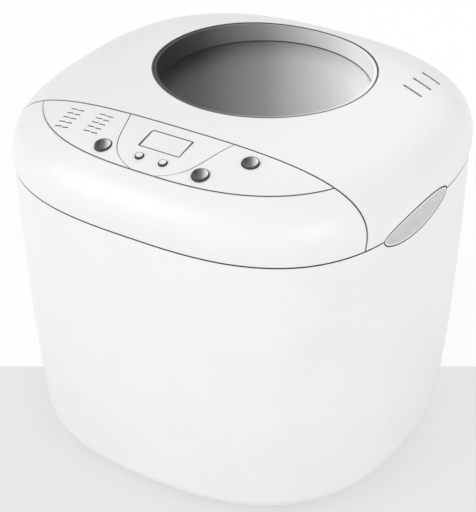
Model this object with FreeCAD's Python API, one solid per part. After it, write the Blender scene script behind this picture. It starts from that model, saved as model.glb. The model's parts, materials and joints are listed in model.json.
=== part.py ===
import FreeCAD
import Part
import functools
import math
import os

# A table-top bread machine: a tapered tub, a domed cap split into a fixed control cowl and a
# hinged lid, an oven with a lift-out pan, and a belt drive that turns the kneading paddle.
# Millimetres; +Z is up, -Y is the front, the origin is under the middle of the four feet.

Vector = FreeCAD.Vector
X_AXIS = Vector(1, 0, 0)
Y_AXIS = Vector(0, 1, 0)
Z_AXIS = Vector(0, 0, 1)
TOUCH = 0.01
SOLVER_STEPS = 40
MM3_PER_CM3 = 1000.0

# Outer form
SEAM_HALF_X = 163.0
SEAM_HALF_Y = 159.0
SEAM_Z = 240.0
CAP_HEIGHT = 58.0
BASE_DRAW_X = 7.3
BASE_DRAW_Y = 7.2
BASE_RADIUS = 17.0
FOOT_HEIGHT = 4.0
SQUARENESS_BASE = 2.5
SQUARENESS_SEAM = 2.85
SQUARENESS_TOP = 2.6
TAPER_POWER = 3.2
CROWN_POWER = 3.5
BULGE = 2.5
BULGE_REACH = 0.45
PLAN_POINTS = 24
PLAN_START = 90.0
BODY_LEVELS = (0.0, 0.1, 0.22, 0.36, 0.55, 0.78, 1.0)
CROWN_ANGLES = (0.0, 1.0, 3.5, 8.0, 16.0, 26.0, 37.0, 48.0, 58.0, 67.0, 75.0, 80.0, 83.0)
REACH = 400.0

# Casing walls and gaps
BODY_WALL = 2.8
CAP_WALL = 2.6
SEAM_GAP = 1.2
SPLIT_SETBACK = 71.0
SPLIT_GAP = 1.2
FIT = 0.3
REST_GAP = 0.15

# Base plate, flange of the tub, and feet
PLATE_THICK = 2.5
FLANGE_THICK = 3.0
FLANGE_INSET = 20.0
FLANGE_WIDTH = 14.0
PLATE_CLEARANCE = 0.4
CASING_SCREW_ANGLES = (20.0, 160.0, 200.0, 340.0)
SLOT_COUNT = 9
SLOT_PITCH = 9.0
SLOT_WIDTH = 3.5
SLOT_LENGTH = 46.0
SLOT_X = 34.0
SLOT_Y = -86.0
FOOT_INSET_X = 59.7
FOOT_INSET_Y = 59.8
FOOT_RADIUS = 11.0
FOOT_STEM_RADIUS = 4.0
FOOT_EDGE = 1.0

# Top deck inside the rim of the tub
DECK_THICK = 3.0
DECK_DROP = 3.0
LEDGE_WIDTH = 5.0
LEDGE_THICK = 3.0
RIB_INSET = 4.0
RIB_THICK = 2.0
RIB_RISE = 3.0
RIB_BACK_SETBACK = 31.0
RIB_SPLIT_GAP = 6.0

# Finger recesses on the seam, one at each side
GRIP_Y = -24.0
GRIP_HALF_LENGTH = 45.0
GRIP_HALF_HEIGHT = 11.7
GRIP_DEPTH = 15.0
GRIP_WALL = 1.6
GRIP_LID_GAP = 1.1
GRIP_FLANGE = 5.0
GRIP_STEPS = 5
GRIP_TURN = 80.0
GRIP_CUT_DEPTH = 35.0

# Hinge across the back of the seam
HINGE_X = 45.0
HINGE_INSET = 2.4
HINGE_RISE = 6.0
KNUCKLE_RADIUS = 4.0
KNUCKLE_WIDTH = 13.0
EAR_WIDTH = 9.0
EAR_DROP = 14.0
HINGE_SIDE_GAP = 0.5
HINGE_PIN_RADIUS = 1.5
PIN_CLEARANCE = 0.05
EAR_NOTCH_GAP = 1.2

# Window in the lid
WINDOW_RADIUS = 87.0
WELL_DEPTH = 20.0
FRAME_WALL = 2.4
FRAME_FLANGE_WIDTH = 6.0
FRAME_FLANGE_THICK = 2.0
FRAME_SINK = 0.5
GLASS_THICK = 4.0
GLASS_LAP = 2.0
SEAL_THICK = 1.0
LINER_RISE = 16.0
LINER_THICK = 1.2
LINER_CLEARANCE = 0.6
LINER_CONE_MARGIN = 17.0
LINER_LIP = 7.0

# Steam vents at the right rear of the lid
VENT_COUNT = 3
VENT_X = 111.5
VENT_Y = 78.0
VENT_PITCH = 17.2
VENT_LENGTH = 19.0
VENT_WIDTH = 2.4
VENT_STEP_X = 0.3
VENT_ANGLE = -17.0

# Lid bumpers and lid screws
BUMPER_RADIUS = 5.0
BUMPER_INSET = 37.0
BUMPER_SETBACK = 14.0
LID_BOSS_RADIUS = 4.5
LID_BOSS_PLACES = ((47.0, 26.0), (35.0, 128.0), (71.0, 206.0))

# Screws and screw bosses
SCREW_RADIUS = 1.6
SCREW_LENGTH = 9.0
SCREW_HEAD_RADIUS = 3.2
SCREW_HEAD_HEIGHT = 2.0
SCREW_SLOT = 0.8
BOSS_RADIUS = 5.0
BOSS_HEIGHT = 12.0

# Cord entry at the back
GLAND_X = -40.0
GLAND_Z = 34.0
GLAND_PAD_RADIUS = 12.5
GLAND_PAD_INSET = 3.6
GLAND_BODY_RADIUS = 6.5
GLAND_FLANGE_RADIUS = 9.5
GLAND_FLANGE_THICK = 2.5
GLAND_FLANGE_TAPER = 1.0
GLAND_BORE_RADIUS = 3.75
GLAND_INNER_LENGTH = 9.0

# Control panel on the cowl
PANEL_THICK = 1.6
PANEL_LINE_DROP = 13.5
PANEL_GAP = 0.5
PANEL_TILT = 12.0
PANEL_SETBACK = 46.0
COWL_BOSS_PLACES = ((45.0, -10.0), (65.0, -30.0))

# Display bezel and liquid crystal window
BEZEL_HALF_WIDTH = 45.0
BEZEL_WAIST_HALF_WIDTH = 36.5
BEZEL_WAIST_SETBACK = 45.0
BEZEL_FRONT_SETBACK = 18.0
BEZEL_FRONT_HALF_WIDTH = 16.0
BEZEL_SHOULDER_SETBACK = 30.5
BEZEL_SHOULDER_HALF_WIDTH = 29.0
BEZEL_TOE_SETBACK = 21.5
LCD_HALF_X = 17.5
LCD_HALF_SLOPE = 9.8
LCD_SETBACK = 50.0
LCD_LENS_THICK = 3.6
LCD_LENS_SINK = 0.3
LCD_CORNER = 1.5
LCD_MODULE_MARGIN = 3.0

# Push buttons, placed by their offset across and their setback from the front of the seam
BIG_BUTTONS = {"left_button": (-42.0, 31.5), "middle_button": (41.0, 31.5), "right_button": (66.0, 57.5)}
SMALL_BUTTONS = {"small_button_left": (-10.0, 31.0), "small_button_right": (10.0, 31.0)}
BIG_BUTTON_RADIUS = 6.3
SMALL_BUTTON_RADIUS = 3.1
BUTTON_CLEARANCE = 0.35
BUTTON_PROUD = 1.4
BUTTON_SKIRT = 5.5
BUTTON_DISH = 0.9
BUTTON_EDGE = 0.5
BUTTON_STEM_RADIUS = 1.6
BUTTON_COLLAR = 1.2
BUTTON_COLLAR_THICK = 1.2
BUTTON_TRAVEL = 1.2

# Control board behind the panel
BOARD_DEPTH = 17.0
BOARD_THICK = 1.6
BOARD_HALF_X = 83.5
BOARD_HALF_SLOPE = 18.0
BOARD_SLOPE = -3.0
SWITCH_HALF = 3.0
SWITCH_HEIGHT = 3.4
SWITCH_TIP_RADIUS = 1.4
SWITCH_TIP_HEIGHT = 1.2
BOARD_POST_RADIUS = 3.5
BOARD_POST_X = 78.5

# Oven chamber
OVEN_Y = 30.0
OVEN_HALF_X = 110.0
OVEN_HALF_Y = 92.0
OVEN_RADIUS = 26.0
OVEN_WALL = 1.0
OVEN_FLOOR_Z = 46.0
OVEN_FLANGE = 8.0
OVEN_FLOOR_RADIUS = 8.0

# Heating element and its mountings
ELEMENT_Z = 68.0
ELEMENT_RADIUS = 3.2
ELEMENT_WALL_GAP = 9.0
ELEMENT_BEND = 18.0
ELEMENT_TAIL_BEND = 8.0
ELEMENT_GAP_HALF = 22.0
ELEMENT_TAIL = 20.0
CLIP_WIDTH = 10.0
CLIP_THICK = 1.0
CLIP_UPRIGHT = 14.0
CLIP_HOOK = 5.0
BUSHING_RADIUS = 6.0
BUSHING_LENGTH = 10.0
BUSHING_FLANGE = 2.5
PROBE_Z = 110.0
PROBE_X = 40.0
PROBE_RADIUS = 3.0
PROBE_REACH = 14.0
PROBE_FLANGE_RADIUS = 9.0
CUTOUT_X = -30.0
CUTOUT_Z = 150.0
CUTOUT_RADIUS = 8.0
CUTOUT_THICK = 8.0

# Bread pan and what it stands on
PAN_HALF_X = 92.0
PAN_HALF_Y = 66.0
PAN_DRAFT = 5.0
PAN_RADIUS = 24.0
PAN_FLOOR_Z = 70.0
PAN_RIM_DROP = 8.0
PAN_WALL = 1.5
PAN_RIM_WIDTH = 4.0
PAN_RIM_THICK = 2.0
FOOT_RING_RADIUS = 34.0
FOOT_RING_WALL = 2.0
SOCKET_WALL = 1.5
SOCKET_HEIGHT = 9.0
SOCKET_FLANGE = 8.0
SOCKET_FLANGE_THICK = 1.5
PAN_FLOOR_RADIUS = 12.0
PAN_CLIP_WIDTH = 18.0
PAN_CLIP_THICK = 0.8
PAN_CLIP_FOOT = 12.0
PAN_CLIP_HEIGHT = 20.0
PAN_CLIP_KINK = 15.0
PAN_CLIP_STANDOFF = 9.0

# Bail handle
BAIL_DROP = 10.0
BAIL_WIRE_RADIUS = 2.2
BAIL_ARM = 76.0
BAIL_SIDE_GAP = 5.0
BAIL_CORNER = 14.0
BAIL_EAR_RADIUS = 7.0
BAIL_EAR_THICK = 3.0
BAIL_EAR_CLEARANCE = 0.1
BAIL_EAR_FOOT = 22.0

# Kneading paddle and the shaft through the pan
SHAFT_RADIUS = 4.0
SHAFT_CLEARANCE = 0.05
PADDLE_HUB_RADIUS = 9.0
PADDLE_HUB_HEIGHT = 24.0
PADDLE_LENGTH = 46.0
PADDLE_HEIGHT = 34.0
PADDLE_THICK = 5.0
PADDLE_FLOOR_GAP = 1.2
SHAFT_FLAT = 3.0
PADDLE_TIP_RADIUS = 10.0
PADDLE_EDGE = 1.5
PAN_BUSH_RADIUS = 10.0
PAN_BUSH_RISE = 5.0
PAN_BUSH_DROP = 5.0
PAN_BUSH_FLANGE = 15.0
PAN_BUSH_EDGE = 1.0
PAN_SEAL_RADIUS = 7.0
PAN_SEAL_HEIGHT = 2.5
RETAINER_THICK = 0.8
RETAINER_RADIUS = 7.0

# Couplings between drive shaft and pan shaft
COUPLING_RADIUS = 11.0
COUPLING_HUB_HEIGHT = 4.0
COUPLING_DOG_HEIGHT = 5.0
COUPLING_DOG_ANGLE = 80.0
COUPLING_DOG_INNER = 5.0
COUPLING_GAP = 0.6
COUPLING_TURN = 90.0

# Chassis and bearing housing
CHASSIS_Z = 40.0
CHASSIS_THICK = 2.0
CHASSIS_HALF_X = 96.0
CHASSIS_FRONT_Y = -128.0
CHASSIS_BACK_Y = 124.0
CHASSIS_RADIUS = 22.0
CHASSIS_LIP = 8.0
POST_X = 80.0
POST_FRONT_Y = -84.0
POST_BACK_Y = 88.0
POST_RADIUS = 6.0
PAD_X = 84.0
PAD_FRONT_Y = -30.0
PAD_BACK_Y = 62.0
PAD_RADIUS = 9.0
HOUSING_RADIUS = 12.0
HOUSING_FLANGE_RADIUS = 24.0
HOUSING_LOW_Z = 30.0
BUSH_RADIUS = 7.0
BUSH_LENGTH = 7.0
DRIVE_LOW_Z = 9.0

# Belt drive
DRIVE_PULLEY_RADIUS = 55.0
MOTOR_PULLEY_RADIUS = 9.0
PULLEY_LOW_Z = 15.0
PULLEY_WIDTH = 11.0
PULLEY_FLANGE = 2.5
PULLEY_FLANGE_THICK = 1.2
PULLEY_SPOKES = 6
PULLEY_HOLE_RADIUS = 12.0
PULLEY_HOLE_CIRCLE = 32.0
PULLEY_WEB = 3.0
PULLEY_HUB_RADIUS = 10.0
BELT_WIDTH = 7.0
BELT_THICK = 1.8
BELT_CLEARANCE = 0.25
NUT_ACROSS = 13.0
NUT_HEIGHT = 5.0
NUT_SIDES = 6

# Motor
MOTOR_X = -60.0
MOTOR_Y = -98.0
MOTOR_RADIUS = 31.0
MOTOR_CAP_HEIGHT = 14.0
MOTOR_CORE_HEIGHT = 36.0
MOTOR_CAP_RADIUS = 27.0
MOTOR_SHAFT_RADIUS = 3.0
MOTOR_EAR_CIRCLE = 33.0
MOTOR_EAR_RADIUS = 4.0
MOTOR_EAR_ANGLES = (20.0, 160.0, 200.0, 340.0)
MOTOR_EAR_THICK = 3.0
MOTOR_EAR_ROOT = 19.8
GROMMET_RADIUS = 3.8
GROMMET_HEIGHT = 5.0
CORE_BORE = 4.0
FAN_RADIUS = 22.0
FAN_BLADES = 8
FAN_HEIGHT = 7.0
FAN_HUB_RADIUS = 6.0
FAN_BLADE_THICK = 1.5
FAN_BLADE_ROOT = 5.0
FAN_GAP = 3.0
SHAFT_TOP_RISE = 13.0
CAPACITOR_RADIUS = 13.0
CAPACITOR_HEIGHT = 48.0
CAPACITOR_X = 0.0
CAPACITOR_Y = -112.0

# Power board
POWER_BOARD_X = 62.0
POWER_BOARD_Y = -96.0
POWER_BOARD_HALF_X = 34.0
POWER_BOARD_HEIGHT = 80.0
POWER_BOARD_THICK = 1.6
BRACKET_THICK = 1.2
BRACKET_HEIGHT = 60.0
RELAY_GAP = 6.0
RELAY_SIZE = (20.0, 16.0, 22.0)
TRANSFORMER_SIZE = (32.0, 24.0, 28.0)

# Heights and places that follow from the sizes above
FRONT_Y = -SEAM_HALF_Y
TOP_Z = SEAM_Z + CAP_HEIGHT
BASE_HALF_X = SEAM_HALF_X - BASE_DRAW_X
BASE_HALF_Y = SEAM_HALF_Y - BASE_DRAW_Y
FOOT_X = BASE_HALF_X - FOOT_INSET_X
FOOT_Y = BASE_HALF_Y - FOOT_INSET_Y
SPLIT_Y = FRONT_Y + SPLIT_SETBACK
RIB_BACK_Y = SEAM_HALF_Y - RIB_BACK_SETBACK
WINDOW_Y = OVEN_Y
FLANGE_Z = FOOT_HEIGHT + PLATE_THICK
FLOOR_RISE = PLATE_THICK + FLANGE_THICK
DECK_TOP = SEAM_Z - DECK_DROP
DECK_LOW = DECK_TOP - DECK_THICK
HINGE_Y = SEAM_HALF_Y - HINGE_INSET
HINGE_Z = SEAM_Z + HINGE_RISE
EAR_OFFSET = KNUCKLE_WIDTH / 2 + HINGE_SIDE_GAP + EAR_WIDTH / 2
GRIP_RIM_X = SEAM_HALF_X - 2 * BODY_WALL
GRIP_CUT_X = SEAM_HALF_X - GRIP_CUT_DEPTH
GLAND_PAD_Y = SEAM_HALF_Y - GLAND_PAD_INSET
GLASS_RADIUS = WINDOW_RADIUS + GLASS_LAP
GLASS_TOP = TOP_Z - WELL_DEPTH
GLASS_LOW = GLASS_TOP - GLASS_THICK
SEAL_TOP = GLASS_TOP + SEAL_THICK
LINER_Z = SEAM_Z + LINER_RISE
LINER_TOP = LINER_Z + LINER_THICK
LINER_CONE_RADIUS = WINDOW_RADIUS + LINER_CONE_MARGIN
LINER_LIP_RADIUS = WINDOW_RADIUS - LINER_LIP
BUMPER_X = SEAM_HALF_X - BUMPER_INSET
BUMPER_Y = SPLIT_Y + BUMPER_SETBACK
PANEL_LINE_Z = TOP_Z - PANEL_LINE_DROP
PANEL_Y = FRONT_Y + PANEL_SETBACK
LCD_Y = FRONT_Y + LCD_SETBACK
BOARD_POST_REACH = BOARD_HALF_SLOPE - BOARD_POST_RADIUS - SCREW_RADIUS
BOARD_POST_SLOPES = (BOARD_SLOPE - BOARD_POST_REACH, BOARD_SLOPE + BOARD_POST_REACH)
OVEN_FLOOR_TOP = OVEN_FLOOR_Z + OVEN_WALL
OVEN_FRONT = OVEN_Y - OVEN_HALF_Y
SOCKET_SEAT = OVEN_FLOOR_TOP + SOCKET_FLANGE_THICK
CHASSIS_TOP = CHASSIS_Z + CHASSIS_THICK
MOTOR_LOW_Z = CHASSIS_TOP + GROMMET_HEIGHT
MOTOR_TOP = MOTOR_LOW_Z + 2 * MOTOR_CAP_HEIGHT + MOTOR_CORE_HEIGHT
PULLEY_TOP = PULLEY_LOW_Z + PULLEY_WIDTH
RETAINER_TOP = PAN_FLOOR_Z - PAN_BUSH_DROP - REST_GAP
PAN_HUB_TOP = RETAINER_TOP - RETAINER_THICK
PAN_HUB_LOW = PAN_HUB_TOP - COUPLING_HUB_HEIGHT
DRIVE_HUB_TOP = PAN_HUB_LOW - COUPLING_GAP - COUPLING_DOG_HEIGHT
DRIVE_HUB_LOW = DRIVE_HUB_TOP - COUPLING_HUB_HEIGHT
HOUSING_TOP = DRIVE_HUB_LOW - COUPLING_GAP
PAN_RIM_Z = DECK_LOW - PAN_RIM_DROP
BAIL_Z = PAN_RIM_Z - BAIL_DROP
PAN_INSIDE_Z = PAN_FLOOR_Z + PAN_WALL
PADDLE_LOW = PAN_INSIDE_Z + PAN_BUSH_RISE + COUPLING_GAP


def superellipse_radius(half_x, half_y, squareness, angle):
    across = abs(math.cos(angle) / half_x) ** squareness
    along = abs(math.sin(angle) / half_y) ** squareness
    return (across + along) ** (-1.0 / squareness)


def plan_point(half_x, half_y, squareness, degrees):
    angle = math.radians(degrees)
    radius = superellipse_radius(half_x, half_y, squareness, angle)
    return radius * math.cos(angle), radius * math.sin(angle)


def plan_wire(half_x, half_y, squareness, z):
    """Closed smooth outline whose squareness runs from an ellipse (2) towards a box."""
    points = []
    for step in range(PLAN_POINTS):
        x, y = plan_point(half_x, half_y, squareness, PLAN_START + 360.0 * step / PLAN_POINTS)
        points.append(Vector(x, y, z))
    curve = Part.BSplineCurve()
    curve.interpolate(points, PeriodicFlag=True, Parameters=[float(step) for step in range(PLAN_POINTS + 1)])
    return Part.Wire(curve.toShape())


def body_section(up, inset):
    """Half sizes, squareness and height of the tub at a share of its height."""
    draw_in = (1.0 - up) ** TAPER_POWER
    half_x = SEAM_HALF_X - (SEAM_HALF_X - BASE_HALF_X) * draw_in - inset
    half_y = SEAM_HALF_Y - (SEAM_HALF_Y - BASE_HALF_Y) * draw_in - inset
    squareness = SQUARENESS_BASE + (SQUARENESS_SEAM - SQUARENESS_BASE) * up
    return half_x, half_y, squareness, FOOT_HEIGHT + up * (SEAM_Z - FOOT_HEIGHT)


@functools.lru_cache(maxsize=None)
def body_form(inset, floor):
    """The tub as a solid, drawn in by an inset, standing on a floor and rounded at the bottom edge."""
    wires = [plan_wire(*body_section(up, inset)) for up in BODY_LEVELS]
    solid = Part.makeLoft(wires, True, False)
    solid = solid.common(slab(FOOT_HEIGHT + floor, SEAM_Z))
    low_edges = [e for e in solid.Edges if abs(e.BoundBox.ZMax - FOOT_HEIGHT - floor) < TOUCH]
    return solid.makeFillet(BASE_RADIUS - inset, low_edges)


def cap_section(degrees, inset):
    """Half sizes, squareness and height of the dome at an angle of its crown curve."""
    angle = math.radians(degrees)
    rise = math.sin(angle) ** (2.0 / CROWN_POWER)
    crown = math.cos(angle) ** (2.0 / CROWN_POWER)
    tuck = BULGE * max(0.0, 1.0 - rise / BULGE_REACH) ** 2
    half_x = (SEAM_HALF_X - inset + BULGE) * crown - tuck
    half_y = (SEAM_HALF_Y - inset + BULGE) * crown - tuck
    squareness = SQUARENESS_SEAM + (SQUARENESS_TOP - SQUARENESS_SEAM) * rise
    return half_x, half_y, squareness, SEAM_Z + rise * (TOP_Z - inset - SEAM_Z)


@functools.lru_cache(maxsize=None)
def cap_form(inset):
    """The dome as a solid, drawn in by an inset, with a straight skirt below the seam."""
    half_x, half_y, squareness, z = cap_section(CROWN_ANGLES[0], inset)
    skirt = Part.Face(plan_wire(half_x, half_y, squareness, z - 2 * DECK_DROP))
    wires = [plan_wire(*cap_section(degrees, inset)) for degrees in CROWN_ANGLES]
    return Part.makeLoft(wires, True, False).fuse(skirt.extrude(Vector(0, 0, 2 * DECK_DROP)))


def cap_height(x, y):
    """Height of the dome's outer skin above a point in plan."""
    low, high = 0.0, CROWN_ANGLES[-1]
    for _ in range(SOLVER_STEPS):
        middle = (low + high) / 2
        half_x, half_y, squareness, z = cap_section(middle, 0.0)
        if abs(x / half_x) ** squareness + abs(y / half_y) ** squareness < 1.0:
            low = middle
        else:
            high = middle
    return z


def boss_points(places):
    """Pairs of screw places, each an inset from the side of the seam and a setback from the split."""
    points = []
    for inset, setback in places:
        x, y = SEAM_HALF_X - inset, SPLIT_Y + setback
        points += [(-x, y), (x, y)]
    return points


def slab(z0, z1, y0=-REACH, y1=REACH, x0=-REACH, x1=REACH):
    return Part.makeBox(x1 - x0, y1 - y0, z1 - z0, Vector(x0, y0, z0))


def cylinder(radius, z0, z1, x=0.0, y=0.0):
    return Part.makeCylinder(radius, z1 - z0, Vector(x, y, z0))


def ring(outer, inner, z0, z1, x=0.0, y=0.0):
    return cylinder(outer, z0, z1, x, y).cut(cylinder(inner, z0, z1, x, y))


def bar_x(radius, x0, x1, y, z):
    return Part.makeCylinder(radius, x1 - x0, Vector(x0, y, z), X_AXIS)


def bar_y(radius, y0, y1, x, z):
    return Part.makeCylinder(radius, y1 - y0, Vector(x, y0, z), Y_AXIS)


def turned(profile, x=0.0, y=0.0):
    """Solid of revolution about an upright axis from (radius, height) points."""
    points = [Vector(x + radius, y, z) for radius, z in profile]
    face = Part.Face(Part.makePolygon(points + points[:1]))
    return face.revolve(Vector(x, y, 0), Z_AXIS, 360)


def polygon_prism(points, direction):
    face = Part.Face(Part.makePolygon(points + points[:1]))
    return face.extrude(direction)


def rounded_wire(half_x, half_y, radius, z, x=0.0, y=0.0):
    """Rectangle with round corners, as lines and arcs."""
    edges = []
    inner_x, inner_y = half_x - radius, half_y - radius
    diagonal = radius * math.sqrt(0.5)
    for turn in range(4):
        spin = FreeCAD.Rotation(Z_AXIS, 90 * turn)
        long_x, long_y = (inner_x, inner_y) if turn % 2 == 0 else (inner_y, inner_x)
        corner = Vector(long_x, long_y, 0)
        start = corner + Vector(radius, 0, 0)
        middle = corner + Vector(diagonal, diagonal, 0)
        end = corner + Vector(0, radius, 0)
        side = Vector(start.x, -long_y, 0)
        place = Vector(x, y, z)
        edges.append(Part.makeLine(place + spin.multVec(side), place + spin.multVec(start)))
        edges.append(Part.Arc(*[place + spin.multVec(p) for p in (start, middle, end)]).toShape())
    return Part.Wire(edges)


def rounded_block(half_x, half_y, radius, z0, z1, x=0.0, y=0.0):
    face = Part.Face(rounded_wire(half_x, half_y, radius, z0, x, y))
    return face.extrude(Vector(0, 0, z1 - z0))


def fused(shapes):
    whole = shapes[0]
    for shape in shapes[1:]:
        whole = whole.fuse(shape)
    return whole


def mirrored(shape):
    return shape.mirror(Vector(0, 0, 0), X_AXIS)


PANEL_ORIGIN = Vector(0, PANEL_Y, cap_height(0.0, PANEL_Y))
LID_BOSSES = boss_points(LID_BOSS_PLACES)
COWL_BOSSES = boss_points(COWL_BOSS_PLACES)


def base_plan(inset, z0, z1):
    """Upright prism with the outline of the tub's bottom, drawn in by an inset."""
    face = Part.Face(plan_wire(BASE_HALF_X - inset, BASE_HALF_Y - inset, SQUARENESS_BASE, z0))
    return face.extrude(Vector(0, 0, z1 - z0))


def grip_wire(x, shrink, grow):
    centre = Vector(x, GRIP_Y, SEAM_Z)
    length = Vector(0, GRIP_HALF_LENGTH * shrink + grow, 0)
    height = Vector(0, 0, GRIP_HALF_HEIGHT * shrink + grow)
    return Part.Wire(Part.Ellipse(centre + length, centre + height, centre).toShape())


def grip_plug(grow, x=GRIP_RIM_X):
    """Oval prism through the right-hand wall."""
    return Part.Face(grip_wire(x, 1.0, grow)).extrude(Vector(REACH - x, 0, 0))


def grip_dish(grow, depth):
    """Oval plug that ends inwards in a rounded dish."""
    wires = []
    for step in range(GRIP_STEPS + 1):
        angle = math.radians(GRIP_TURN * step / GRIP_STEPS)
        wires.append(grip_wire(GRIP_RIM_X - depth * math.sin(angle), math.sqrt(math.cos(angle)), grow))
    return grip_plug(grow).fuse(Part.makeLoft(wires, True, False))


def both_sides(shape):
    return shape.fuse(mirrored(shape))


def make_grip_cup(outer):
    """Finger recess of the right-hand side, with a flange behind the wall of the tub."""
    cup = grip_dish(-FIT, GRIP_DEPTH + GRIP_WALL).common(outer)
    inner_skin = body_form(BODY_WALL, FLOOR_RISE)
    flange = inner_skin.cut(body_form(BODY_WALL + GRIP_WALL, FLOOR_RISE))
    flange = flange.common(grip_plug(GRIP_FLANGE)).common(slab(FOOT_HEIGHT, DECK_LOW - LEDGE_THICK))
    return cup.fuse(flange).cut(grip_dish(-FIT - GRIP_WALL, GRIP_DEPTH))


def hinge_ears():
    """Four ears at the back of the tub that carry the hinge pins."""
    low = SEAM_Z - EAR_DROP
    back = HINGE_Y + KNUCKLE_RADIUS
    inside = HINGE_Y - HINGE_INSET / 3
    ears = []
    for hinge in (-HINGE_X, HINGE_X):
        for offset in (-EAR_OFFSET, EAR_OFFSET):
            x = hinge + offset - EAR_WIDTH / 2
            outline = [(inside, low), (inside, HINGE_Z), (back, HINGE_Z), (back, SEAM_Z), (HINGE_Y, low)]
            stem = polygon_prism([Vector(x, y, z) for y, z in outline], Vector(EAR_WIDTH, 0, 0))
            ears.append(stem.fuse(bar_x(KNUCKLE_RADIUS, x, x + EAR_WIDTH, HINGE_Y, HINGE_Z)))
    return fused(ears)


def hinge_bores(radius):
    reach = EAR_OFFSET + EAR_WIDTH
    return fused([bar_x(radius, x - reach, x + reach, HINGE_Y, HINGE_Z) for x in (-HINGE_X, HINGE_X)])


def casing_screw_points():
    inset = FLANGE_INSET + FLANGE_WIDTH / 2
    size = (BASE_HALF_X - inset, BASE_HALF_Y - inset, SQUARENESS_BASE)
    return [plan_point(*size, degrees) for degrees in CASING_SCREW_ANGLES]


def make_body_shell():
    cavity = body_form(BODY_WALL, FLOOR_RISE)
    shell = body_form(0.0, 0.0).cut(cavity)
    ledge = cavity.common(slab(DECK_LOW - LEDGE_THICK, DECK_LOW))
    ledge = ledge.cut(body_form(BODY_WALL + LEDGE_WIDTH, FLOOR_RISE))
    bosses = [cylinder(BOSS_RADIUS, FLANGE_Z, FLANGE_Z + BOSS_HEIGHT, x, y) for x, y in casing_screw_points()]
    gland_pad = Part.makeCylinder(GLAND_PAD_RADIUS, REACH, Vector(GLAND_X, 0, GLAND_Z), Y_AXIS)
    gland_pad = gland_pad.common(slab(0, SEAM_Z, 0, GLAND_PAD_Y)).cut(cavity)
    shell = fused([shell, ledge, gland_pad, hinge_ears()] + bosses)
    shell = shell.cut(base_plan(FLANGE_INSET, FOOT_HEIGHT, FLANGE_Z))
    shell = shell.cut(base_plan(FLANGE_INSET + FLANGE_WIDTH, FOOT_HEIGHT, FLANGE_Z + FLANGE_THICK))
    shell = shell.cut(both_sides(grip_plug(0.0, GRIP_CUT_X))).cut(hinge_bores(HINGE_PIN_RADIUS))
    gland_hole = bar_y(GLAND_BODY_RADIUS + PIN_CLEARANCE, 0, REACH, GLAND_X, GLAND_Z)
    shell = shell.cut(gland_hole)
    for x, y in casing_screw_points():
        shell = shell.cut(cylinder(SCREW_RADIUS, FOOT_HEIGHT, FLANGE_Z + SCREW_LENGTH, x, y))
    return shell


def make_top_deck():
    """Deck that covers the space between the tub and the oven, with an upright rib behind the seam."""
    deck = body_form(BODY_WALL + FIT, FLOOR_RISE).common(slab(DECK_LOW, DECK_TOP))
    rib_slab = slab(DECK_LOW, SEAM_Z + RIB_RISE, -REACH, RIB_BACK_Y)
    rib = cap_form(RIB_INSET).cut(cap_form(RIB_INSET + RIB_THICK)).common(rib_slab)
    gap = slab(DECK_TOP, TOP_Z, SPLIT_Y - RIB_SPLIT_GAP, SPLIT_Y + RIB_SPLIT_GAP)
    deck = deck.fuse(rib).cut(gap)
    deck = deck.cut(rounded_block(OVEN_HALF_X, OVEN_HALF_Y, OVEN_RADIUS, DECK_LOW, DECK_TOP, 0, OVEN_Y))
    for x, y in COWL_BOSSES:
        deck = deck.cut(cylinder(SCREW_RADIUS, DECK_LOW, DECK_TOP, x, y))
    return deck.cut(both_sides(grip_plug(FIT, GRIP_CUT_X)))


def make_base_plate():
    """Bottom cover with cooling slots and four posts under the chassis."""
    plate = base_plan(FLANGE_INSET + PLATE_CLEARANCE, FOOT_HEIGHT, FLANGE_Z)
    plate = fused([plate] + [cylinder(POST_RADIUS, FOOT_HEIGHT, CHASSIS_Z, x, y) for x, y in post_points()])
    slots = []
    for row in range(SLOT_COUNT):
        y = SLOT_Y + row * SLOT_PITCH
        for x in (-SLOT_X, SLOT_X):
            corner = SLOT_WIDTH / 2 - FIT
            slots.append(rounded_block(SLOT_LENGTH / 2, SLOT_WIDTH / 2, corner, 0, FLANGE_Z, x, y))
    plate = plate.cut(fused(slots))
    for x, y in foot_points():
        plate = plate.cut(cylinder(FOOT_STEM_RADIUS, FOOT_HEIGHT, FLANGE_Z, x, y))
    for x, y in casing_screw_points():
        plate = plate.cut(cylinder(SCREW_RADIUS, FOOT_HEIGHT, FLANGE_Z, x, y))
    for x, y in post_points():
        plate = plate.cut(cylinder(SCREW_RADIUS, CHASSIS_Z - SCREW_LENGTH, CHASSIS_Z, x, y))
    return plate


def foot_points():
    return [(x, y) for x in (-FOOT_X, FOOT_X) for y in (-FOOT_Y, FOOT_Y)]


def post_points():
    return [(x, y) for x in (-POST_X, POST_X) for y in (POST_FRONT_Y, POST_BACK_Y)]


def make_feet():
    profile = [(0, 0), (FOOT_RADIUS - FOOT_EDGE, 0), (FOOT_RADIUS, FOOT_EDGE),
               (FOOT_RADIUS - FOOT_EDGE, FOOT_HEIGHT), (FOOT_STEM_RADIUS, FOOT_HEIGHT),
               (FOOT_STEM_RADIUS, FLANGE_Z), (0, FLANGE_Z)]
    return Part.makeCompound([turned(profile, x, y) for x, y in foot_points()])


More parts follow.
